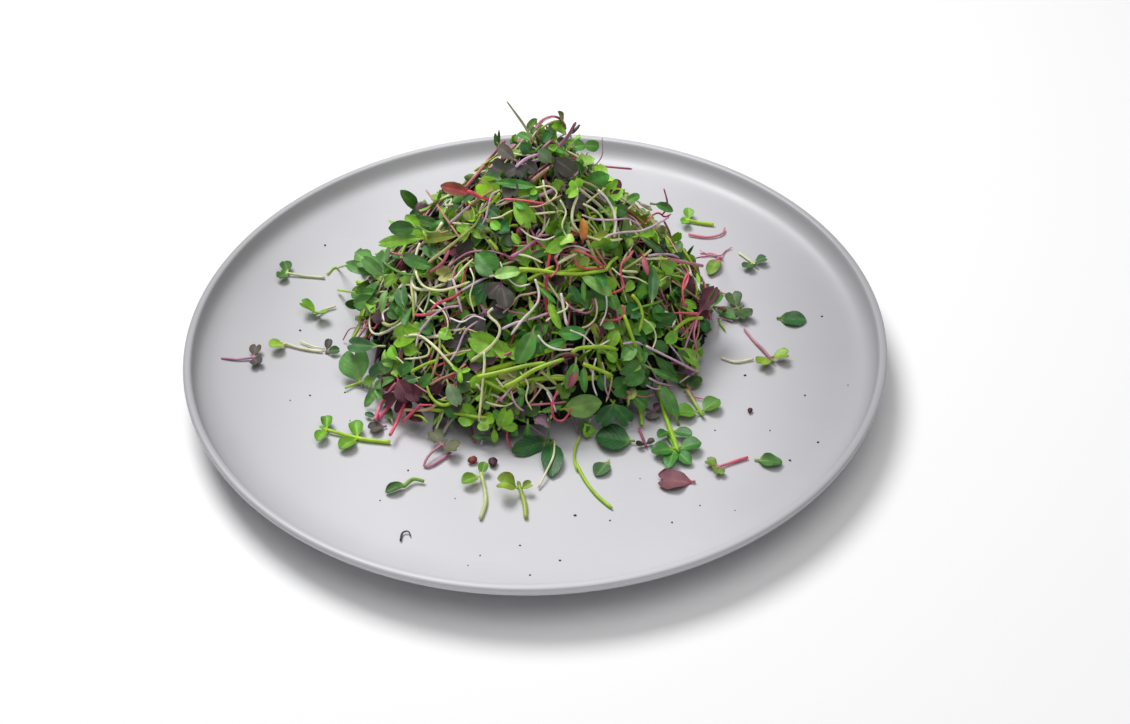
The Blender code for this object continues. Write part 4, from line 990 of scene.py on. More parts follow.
# stems: look, radii, lift, pixels that the stem passes
STEMS = [
    # peak
    ("olive", 0.45, 0.50, 1.5, [(531, 142), (535, 133), (543, 127), (552, 122), (560, 121), (566, 125)]),
    ("rose", 0.55, 0.60, 2.5, [(536, 129), (541, 121), (549, 117), (557, 117), (563, 122), (566, 129)]),
    ("white", 0.45, 0.40, 2.0, [(538, 126), (545, 120), (554, 117), (562, 120)]),
    ("mauve", 0.60, 0.50, 3.0, [(542, 149), (548, 143), (554, 138)]),
    ("lilac", 0.70, 0.60, 4.2, [(516, 167), (524, 160), (531, 156.5), (539, 154)]),
    ("rose", 0.80, 0.75, 2.0, [(466, 187), (477, 174), (488, 161), (498, 149), (505, 141)]),
    ("butter", 0.45, 0.45, 2.0, [(497, 142), (503, 148), (512, 153), (522, 155), (531, 155)]),
    ("brown", 0.95, 0.80, 3.0, [(532, 181), (543, 172), (554, 165)]),
    ("mauve", 0.60, 0.50, 2.4, [(529, 178), (540, 169), (550, 162)]),
    ("butter", 0.65, 0.60, 4.0, [(577, 188), (577, 197), (574, 205), (572, 215), (573, 224), (580, 232), (592, 238),
                                 (605, 241), (622, 239)]),
    ("butter", 0.60, 0.55, 3.2, [(583, 204), (593, 209), (601, 216), (604, 225), (605, 233)]),
    ("white", 0.60, 0.85, 4.2, [(598, 190), (606, 198), (613, 210), (615.5, 222), (614, 237)]),
    ("butter", 0.50, 0.50, 3.0, [(543, 180), (545, 192), (549, 201), (558, 210)]),
    ("butter", 0.42, 0.42, 3.8, [(536, 188), (545, 186), (553, 188), (557, 194), (552, 200), (546, 205)]),
    ("tan", 0.45, 0.75, 2.5, [(546, 199), (552, 208), (559, 219)]),
    ("butter", 0.55, 0.50, 3.6, [(535, 214), (545, 213), (558, 212)]),
    ("tan", 0.40, 0.35, 4.2, [(529, 207), (540, 206), (552, 200), (562, 195)]),
    ("coral", 0.50, 0.70, 4.0, [(504, 199), (518, 200), (532, 202), (546, 204)]),
    ("lilac", 0.32, 0.32, 0.0, [(602, 138), (603, 148), (601, 158), (593, 167), (585, 171)]),
    ("lilac", 0.35, 0.35, 1.0, [(588, 152), (582, 162), (577, 173), (568, 180)]),
    ("rose", 0.60, 0.50, 0.0, [(580, 163), (600, 166), (632, 169)]),
    ("lilac", 0.50, 0.40, 2.5, [(556, 149), (557, 141), (561, 136), (566, 134)]),
    ("white", 0.55, 0.45, 2.0, [(574, 150), (572, 141), (570, 133)]),
    ("tan", 0.55, 0.50, 2.0, [(582, 181), (592, 185), (601, 192), (608, 199)]),
    ("olive", 0.45, 0.45, 2.4, [(585, 204), (594, 197), (604, 189), (611, 186)]),
    ("mauve", 0.50, 0.45, 1.8, [(545, 180), (552, 189), (557, 202)]),
    # upper left
    ("brown", 0.62, 0.50, 3.0, [(461, 240), (448, 221), (437, 205), (426, 190)]),
    ("stalk", 0.50, 0.55, 1.8, [(436, 202), (426, 206), (416, 208.5)]),
    ("lilac", 0.80, 0.70, 3.6, [(450, 223), (460, 214.5), (470, 206)]),
    ("brown", 0.72, 0.60, 3.2, [(469, 206), (480, 198.5), (493, 190)]),
    ("lilac", 0.42, 0.48, 4.6, [(500, 190), (492, 195), (488, 208), (486, 217), (482, 225)]),
    ("lime", 0.70, 0.70, 3.4, [(500, 193), (492, 203), (484, 211), (475, 217)]),
    ("lime", 0.60, 0.60, 2.6, [(469, 201), (474, 212), (474, 222)]),
    ("butter", 0.38, 0.38, 3.8, [(486, 219), (500, 217), (513, 210)]),
    ("butter", 0.55, 0.50, 3.4, [(453, 223), (464, 224), (476, 224)]),
    ("olive", 0.80, 0.60, 4.4, [(429, 262), (445, 250), (460, 238), (475, 225), (481, 214)]),
    ("butter", 0.66, 0.60, 4.4, [(420, 243), (416, 255), (415, 266), (418, 278), (425, 287), (440, 290.5), (456, 287),
                                 (470, 282)]),
    ("tan", 0.75, 0.60, 3.0, [(410, 256), (420, 246), (435, 236), (452, 230)]),
    ("coral", 0.50, 0.45, 3.2, [(388, 252), (399, 254.5), (410, 259), (423, 265)]),
    ("rose", 0.70, 0.75, 3.8, [(449, 249), (446, 258), (439, 266), (429, 273)]),
    ("stalk", 0.62, 0.60, 3.4, [(376, 254), (386, 264), (395, 270), (406, 274), (420, 275), (433, 272)]),
    ("mauve", 0.48, 0.45, 3.2, [(448, 267), (459, 258), (471, 252), (488, 251), (505, 255), (521, 262)]),
    ("tan", 0.45, 0.45, 4.0, [(453, 282), (453, 274), (458, 265), (470, 257)]),
    ("butter", 0.62, 0.50, 4.4, [(455, 279), (462, 270), (473, 259)]),
    ("coral", 0.50, 0.45, 3.4, [(461, 289), (464, 276), (468, 265)]),
    ("lilac", 0.58, 0.50, 4.6, [(416, 346), (419, 334), (425, 325), (434, 315), (446, 308), (459, 306)]),
    ("lilac", 0.55, 0.55, 4.4, [(461, 291), (475, 283), (488, 277), (501, 275), (515, 272)]),
    ("coral", 0.62, 0.62, 4.6, [(431, 310), (437, 304), (447, 299.5), (456, 296), (461, 291)]),
    ("mauve", 0.80, 0.55, 3.6, [(511, 257), (523, 250), (533, 242), (540, 236), (549, 235)]),
    ("lime", 0.90, 0.80, 3.0, [(489, 240), (494, 245), (498, 251)]),
    ("lilac", 0.35, 0.35, 2.0, [(487, 229), (496, 234), (503, 240)]),
    # middle
    ("coral", 0.50, 0.45, 4.6, [(550, 277), (555, 273), (558, 266), (555, 257), (560, 249), (565, 243), (570, 241.5),
                                (577, 243)]),
    ("lilac", 0.52, 0.50, 5.0, [(556, 258), (560, 251), (568, 246), (579, 247), (591, 252)]),
    ("coral", 0.60, 0.50, 5.2, [(573, 250), (582, 252), (592, 257), (600, 263), (605, 269)]),
    ("red", 0.42, 0.42, 4.0, [(575, 258), (577, 265), (585, 268.5), (595, 269), (604, 268)]),
    ("butter", 0.78, 0.75, 4.2, [(557, 264), (567, 258), (577, 253)]),
    ("lime", 0.90, 0.80, 4.0, [(519, 269), (530, 269.5), (545, 271), (560, 273.5), (580, 274), (595, 272), (606, 269.5),
                               (611, 262), (618, 257)]),
    ("lime", 0.80, 0.75, 3.4, [(528, 280), (540, 273), (554, 266)]),
    ("tan", 0.70, 0.60, 3.2, [(563, 226), (574, 230), (586, 237)]),
    ("olive", 0.90, 0.85, 3.4, [(587, 240), (592, 252), (599, 267)]),
    ("brown", 0.62, 0.60, 3.0, [(592, 243), (599, 255), (607, 267), (615, 280), (620, 288)]),
    ("lilac", 0.48, 0.45, 4.6, [(582, 215), (594, 219), (611, 220), (628, 219), (640, 226)]),
    ("lilac", 0.50, 0.55, 5.2, [(603, 242), (606, 237), (613, 234), (626, 232), (640, 231), (653, 226), (669, 217)]),
    ("butter", 0.50, 0.45, 3.6, [(518, 254), (530, 257), (543, 263)]),
    ("tan", 0.45, 0.45, 3.2, [(500, 218), (507, 213), (515, 210)]),
    ("coral", 0.60, 0.55, 4.4, [(633, 251), (629, 257), (622, 263), (620.5, 271), (622, 280), (624, 287), (618, 291),
                                (612, 293)]),
    ("olive", 0.62, 0.60, 4.0, [(651, 250), (640, 259), (629, 266), (620, 271)]),
    ("butter", 0.60, 0.55, 4.6, [(622, 271), (630, 271.5), (638, 272)]),
    ("butter", 0.50, 0.45, 3.4, [(633, 243), (629, 252)]),
    ("white", 0.58, 0.62, 5.0, [(535, 279), (538.5, 290), (538.5, 300), (533, 309), (524, 318), (517, 327), (511, 335)]),
    ("lilac", 0.62, 0.55, 4.4, [(502, 329), (515, 323), (530, 319), (549, 313)]),
    ("butter", 0.60, 0.85, 4.6, [(493, 308), (488, 313), (491, 318), (497, 323), (500, 330), (497, 339), (488, 349),
                                 (480, 355), (471, 361)]),
    ("lilac", 0.50, 0.45, 4.2, [(450, 361), (457, 351), (462, 338), (467, 329), (478, 321)]),
    ("tan", 0.42, 0.55, 4.0, [(503, 313), (511, 305), (519, 296), (529, 294), (538, 292)]),
    ("white", 0.50, 0.50, 4.2, [(538, 335), (544, 343), (552, 348), (562, 350), (574, 349)]),
    ("mauve", 0.48, 0.42, 2.6, [(496, 305), (510, 311), (525, 314.5), (536, 318), (541, 325), (543, 334)]),
    ("butter", 0.50, 0.45, 4.2, [(546, 321), (556, 314), (565, 310), (568, 306), (566, 302)]),
    ("rose", 0.70, 0.60, 3.6, [(496, 357), (504, 355), (512, 352)]),
    ("lilac", 0.60, 0.60, 4.4, [(453, 279), (456, 289), (459, 301), (462, 312)]),
    ("coral", 0.70, 0.60, 3.6, [(415, 315), (425, 315), (434, 313)]),
    ("mauve", 0.50, 0.48, 3.6, [(561, 294), (566, 303), (575, 310), (585, 313), (591, 311), (594, 304), (592, 298)]),
    ("white", 0.62, 0.70, 4.0, [(561, 293), (563, 305), (565, 317), (567, 326)]),
    ("tan", 0.52, 0.50, 3.8, [(595, 298), (597, 309), (595, 319), (588, 326), (579, 329)]),
    ("coral", 0.52, 0.50, 3.6, [(622, 305), (624.5, 312), (621, 318), (614, 320), (600, 320)]),
    ("lime", 0.85, 0.80, 4.2, [(632, 295), (638, 302), (642, 312), (641.5, 322), (639, 332)]),
    ("lime", 0.95, 0.85, 4.6, [(624, 315), (628, 326), (632, 337), (636, 348)]),
    ("stalk", 0.52, 0.50, 4.0, [(632, 311), (641, 307), (653, 304), (663, 300)]),
    ("lime", 0.98, 0.90, 4.8, [(572, 353), (578, 348.5), (592, 347), (606, 347), (618, 350)]),
    ("lime", 0.95, 0.88, 4.6, [(583, 364), (597, 369), (613, 376)]),
    ("stalk", 0.52, 0.50, 4.4, [(624, 341), (632, 349), (639, 359), (645, 369)]),
    ("white", 0.50, 0.45, 4.0, [(596, 358), (593, 371), (593, 384), (597, 396)]),
    ("lilac", 0.45, 0.42, 3.6, [(602, 362), (605, 374), (605, 386), (609, 398)]),
    ("tan", 0.45, 0.42, 3.2, [(612, 377), (610, 389), (606, 402)]),
    ("lilac", 0.55, 0.50, 4.6, [(623, 344), (635, 342), (643, 345)]),
    ("lime", 1.0, 0.95, 5.0, [(477, 377), (492, 374), (512, 369), (529, 365), (546, 363)]),
    ("lime", 1.0, 0.95, 5.6, [(504, 387), (518, 380), (534, 370), (549, 364), (564, 359)]),
    ("lime", 0.80, 0.80, 3.6, [(484, 380), (495, 386), (506, 392), (513, 400)]),
    ("olive", 0.75, 0.70, 4.0, [(541, 371), (549, 378), (557, 385)]),
    ("butter", 0.62, 0.55, 5.0, [(484, 352), (484.5, 364), (483, 380), (481.5, 396), (480, 410), (479, 421)]),
    ("lilac", 0.52, 0.45, 4.6, [(511, 387), (505, 395), (500, 401)]),
    ("lilac", 0.50, 0.50, 4.2, [(511, 391), (513, 399), (518, 407), (524, 411)]),
    ("butter", 0.48, 0.45, 3.6, [(486, 402), (495, 405), (505, 406), (514, 402)]),
    ("butter", 0.55, 0.50, 4.2, [(496, 378), (500, 383), (504, 388)]),
    ("coral", 0.62, 0.55, 4.6, [(558, 391), (553, 401), (552, 411), (555, 419), (562, 421), (568, 415), (571, 408)]),
    ("rose", 0.50, 0.50, 3.6, [(528, 405), (545, 404), (566, 402)]),
    ("tan", 0.42, 0.40, 4.0, [(543, 385), (537, 394), (528, 405)]),
    ("white", 0.42, 0.42, 4.4, [(547, 392), (552, 402), (556, 412)]),
    # left
    ("lime", 0.75, 0.70, 2.0, [(349, 269), (362, 275), (381, 281)]),
    ("lime", 0.62, 0.55, 1.5, [(338, 290), (351, 292), (364, 293)]),
    ("lime", 0.50, 0.50, 0.6, [(327, 274), (338, 268), (351, 264)]),
    ("white", 0.42, 0.38, 3.0, [(384, 321), (383, 313), (389, 308)]),
    ("olive", 0.90, 0.60, 3.0, [(383, 323), (390, 325.5), (398, 322), (403, 316)]),
    ("olive", 0.60, 0.62, 3.0, [(411, 286), (413, 300), (414, 320)]),
    ("rose", 0.35, 0.32, 1.0, [(343, 340), (350, 329), (362, 328), (376, 328)]),
    ("rose", 0.35, 0.30, 0.8, [(354, 340), (361, 338), (367, 336)]),
    ("olive", 0.62, 0.70, 4.0, [(440, 334), (440, 345), (438, 357), (435, 368), (431, 380)]),
    ("butter", 0.62, 0.68, 4.6, [(405, 336), (416, 335), (424, 338), (436, 348), (447, 360), (457, 371), (462, 374)]),
    ("butter", 0.50, 0.45, 3.6, [(405, 359), (418, 358), (428, 355), (429, 348), (425, 343)]),
    ("lime", 0.80, 0.75, 3.4, [(411, 372), (424, 365), (438, 360)]),
    ("tan", 0.62, 0.55, 3.8, [(440, 358), (455, 353), (472, 350)]),
    ("olive", 0.45, 0.40, 4.2, [(454, 331), (466, 329), (478, 333)]),
    ("lime", 0.50, 0.45, 3.8, [(442, 345), (448, 353), (458, 355), (468, 351)]),
    ("brown", 0.62, 0.50, 4.0, [(430, 385), (440, 379), (454, 373), (466, 364)]),
    ("red", 0.55, 0.45, 3.4, [(437, 366), (446, 362)]),
    # lower left cluster
    ("rose", 0.95, 0.85, 3.4, [(375, 420), (380, 406), (388, 394), (396, 383)]),
    ("coral", 0.85, 0.80, 4.2, [(390, 435), (396, 424), (401, 412), (406, 401)]),
    ("coral", 0.80, 0.70, 4.6, [(403, 422), (412, 413), (421, 404)]),
    ("tan", 0.80, 0.85, 3.6, [(404, 410), (417, 410), (429, 409), (439, 402), (448, 397)]),
    ("red", 0.45, 0.40, 4.4, [(421, 405), (432, 405)]),
    ("lime", 0.85, 0.80, 1.6, [(431, 410), (445, 411), (460, 414), (476, 417), (490, 418)]),
    ("lime", 0.85, 0.60, 4.4, [(451, 403), (444, 405), (436, 402), (430, 395), (427, 386)]),
    ("lime", 0.45, 0.60, 4.0, [(414, 415), (422, 417), (428, 424)]),
    ("lime", 0.60, 0.50, 1.2, [(345, 388), (355, 384), (364, 381)]),
    # right
    ("coral", 0.50, 0.50, 3.2, [(648, 221), (653, 215), (659, 213), (665, 217), (671, 214)]),
    ("mauve", 0.40, 0.55, 1.5, [(664, 189), (667, 200), (667, 208), (662, 215)]),
    ("mauve", 0.60, 0.50, 3.4, [(664, 221), (669, 231), (672, 240), (676, 247)]),
    ("butter", 0.85, 0.80, 2.6, [(640, 203), (646, 207), (652, 210)]),
    ("white", 0.60, 0.50, 3.0, [(636, 200), (643, 204), (651, 207)]),
    ("lilac", 0.58, 0.48, 4.0, [(648, 256), (660, 254), (672, 255), (679, 258)]),
    ("rose", 0.95, 0.80, 3.6, [(668, 259), (683, 262), (703, 266)]),
    ("butter", 0.70, 0.60, 3.2, [(645, 259), (658, 258.5), (672, 260)]),
    ("rose", 0.75, 0.55, 2.6, [(697, 266), (699, 276), (699, 287)]),
    ("olive", 0.40, 0.40, 3.0, [(660, 281), (670, 275), (682, 272)]),
    ("coral", 0.62, 0.50, 4.6, [(687, 274), (683, 285), (683, 298), (685, 308)]),
    ("white", 0.50, 0.55, 4.4, [(689, 273), (696, 281), (700, 291)]),
    ("brown", 0.45, 0.42, 3.8, [(672, 281), (686, 290), (700, 300)]),
    ("coral", 0.85, 0.35, 4.6, [(698, 314), (686, 313), (674, 313)]),
    ("white", 0.50, 0.50, 3.8, [(660, 310), (670, 314), (675, 320), (672, 327)]),
    ("lime", 0.95, 0.85, 3.6, [(702, 318), (690, 319), (679, 326), (671, 335)]),
    ("rose", 0.48, 0.42, 3.4, [(696, 319), (690, 327), (681, 337)]),
    ("mauve", 0.50, 0.42, 3.8, [(696, 319), (691, 331), (686, 345), (684, 352)]),
    ("rose", 0.50, 0.48, 4.4, [(697, 319), (694, 334), (696, 347), (697, 358)]),
    ("brown", 0.45, 0.42, 3.0, [(699, 319), (698, 334), (692, 350)]),
    ("lilac", 0.58, 0.62, 4.8, [(646, 346), (660, 353), (678, 362), (697, 372)]),
    ("lilac", 0.42, 0.38, 4.2, [(669, 344), (678, 355), (687, 369)]),
    ("lilac", 0.45, 0.42, 3.8, [(699, 370), (689, 376), (679, 383)]),
    ("lilac", 0.60, 0.50, 3.0, [(649, 378), (659, 383), (672, 386)]),
    ("rose", 0.45, 0.42, 1.2, [(686, 384), (691, 392), (696, 402)]),
    ("rose", 0.35, 0.32, 0.8, [(686, 393), (694, 397), (704, 399)]),
    ("lilac", 0.62, 0.55, 3.4, [(661, 389), (666, 400), (671, 409)]),
    ("lime", 0.95, 0.90, 2.0, [(639, 405), (641, 415), (642, 425)]),
    ("mauve", 0.40, 0.38, 3.4, [(627, 391), (635, 395), (645, 397), (655, 394)]),
    ("lilac", 0.42, 0.40, 3.6, [(646, 385), (655, 389), (666, 388)]),
    ("lilac", 0.45, 0.40, 1.0, [(712, 319), (720, 318), (733, 321)]),
    ("lime", 0.55, 0.50, 0.8, [(718, 318), (721, 324), (725, 330)]),
    ("rose", 0.45, 0.45, 0.8, [(717, 292), (727, 294), (738, 296)]),
    ("lilac", 0.30, 0.30, 0.6, [(700, 250), (708, 254), (715, 256)]),
    ("rose", 0.38, 0.32, 0.8, [(696, 258), (707, 256), (722, 255), (732, 247)]),
    ("coral", 0.52, 0.50, 1.4, [(508, 428), (507, 438), (511, 447), (518, 452), (524, 449), (526, 442)]),
    ("stalk", 0.42, 0.42, 1.6, [(549, 412), (549.5, 430), (547, 447)]),
    ("lime", 0.55, 0.50, 1.0, [(580, 436), (576, 446), (574, 458), (577, 470)]),
    ("stalk", 0.62, 0.60, 0.9, [(667, 434), (672, 444), (676, 455)]),
    ("butter", 0.42, 0.40, 0.8, [(300, 341), (312, 346), (325, 349)]),
    ("butter", 0.45, 0.40, 3.2, [(388, 350), (402, 362), (414, 376)]),
    ("rose", 0.50, 0.45, 3.4, [(404, 372), (414, 384), (430, 394)]),
    ("butter", 0.40, 0.38, 4.6, [(470, 268), (474, 280), (470, 296), (474, 312)]),
    ("white", 0.40, 0.38, 4.4, [(520, 228), (530, 236), (544, 240), (556, 236)]),
    ("butter", 0.42, 0.40, 4.8, [(560, 200), (566, 212), (562, 226), (568, 240)]),
    ("white", 0.40, 0.36, 4.6, [(598, 284), (606, 296), (606, 312), (600, 326)]),
    ("butter", 0.42, 0.38, 4.6, [(430, 300), (444, 312), (448, 326), (444, 340)]),
    ("white", 0.38, 0.36, 4.6, [(500, 262), (506, 276), (518, 286), (530, 284)]),
    ("butter", 0.42, 0.40, 4.8, [(520, 372), (528, 384), (526, 398), (532, 410)]),
    ("butter", 0.40, 0.38, 4.4, [(612, 268), (622, 276), (636, 278), (648, 284)]),
    ("white", 0.40, 0.36, 4.6, [(450, 318), (462, 322), (474, 316), (486, 320)]),
    ("butter", 0.42, 0.38, 4.4, [(642, 318), (652, 326), (656, 338), (652, 350)]),
    ("white", 0.38, 0.36, 4.8, [(570, 330), (584, 336), (596, 346), (610, 340)]),
]

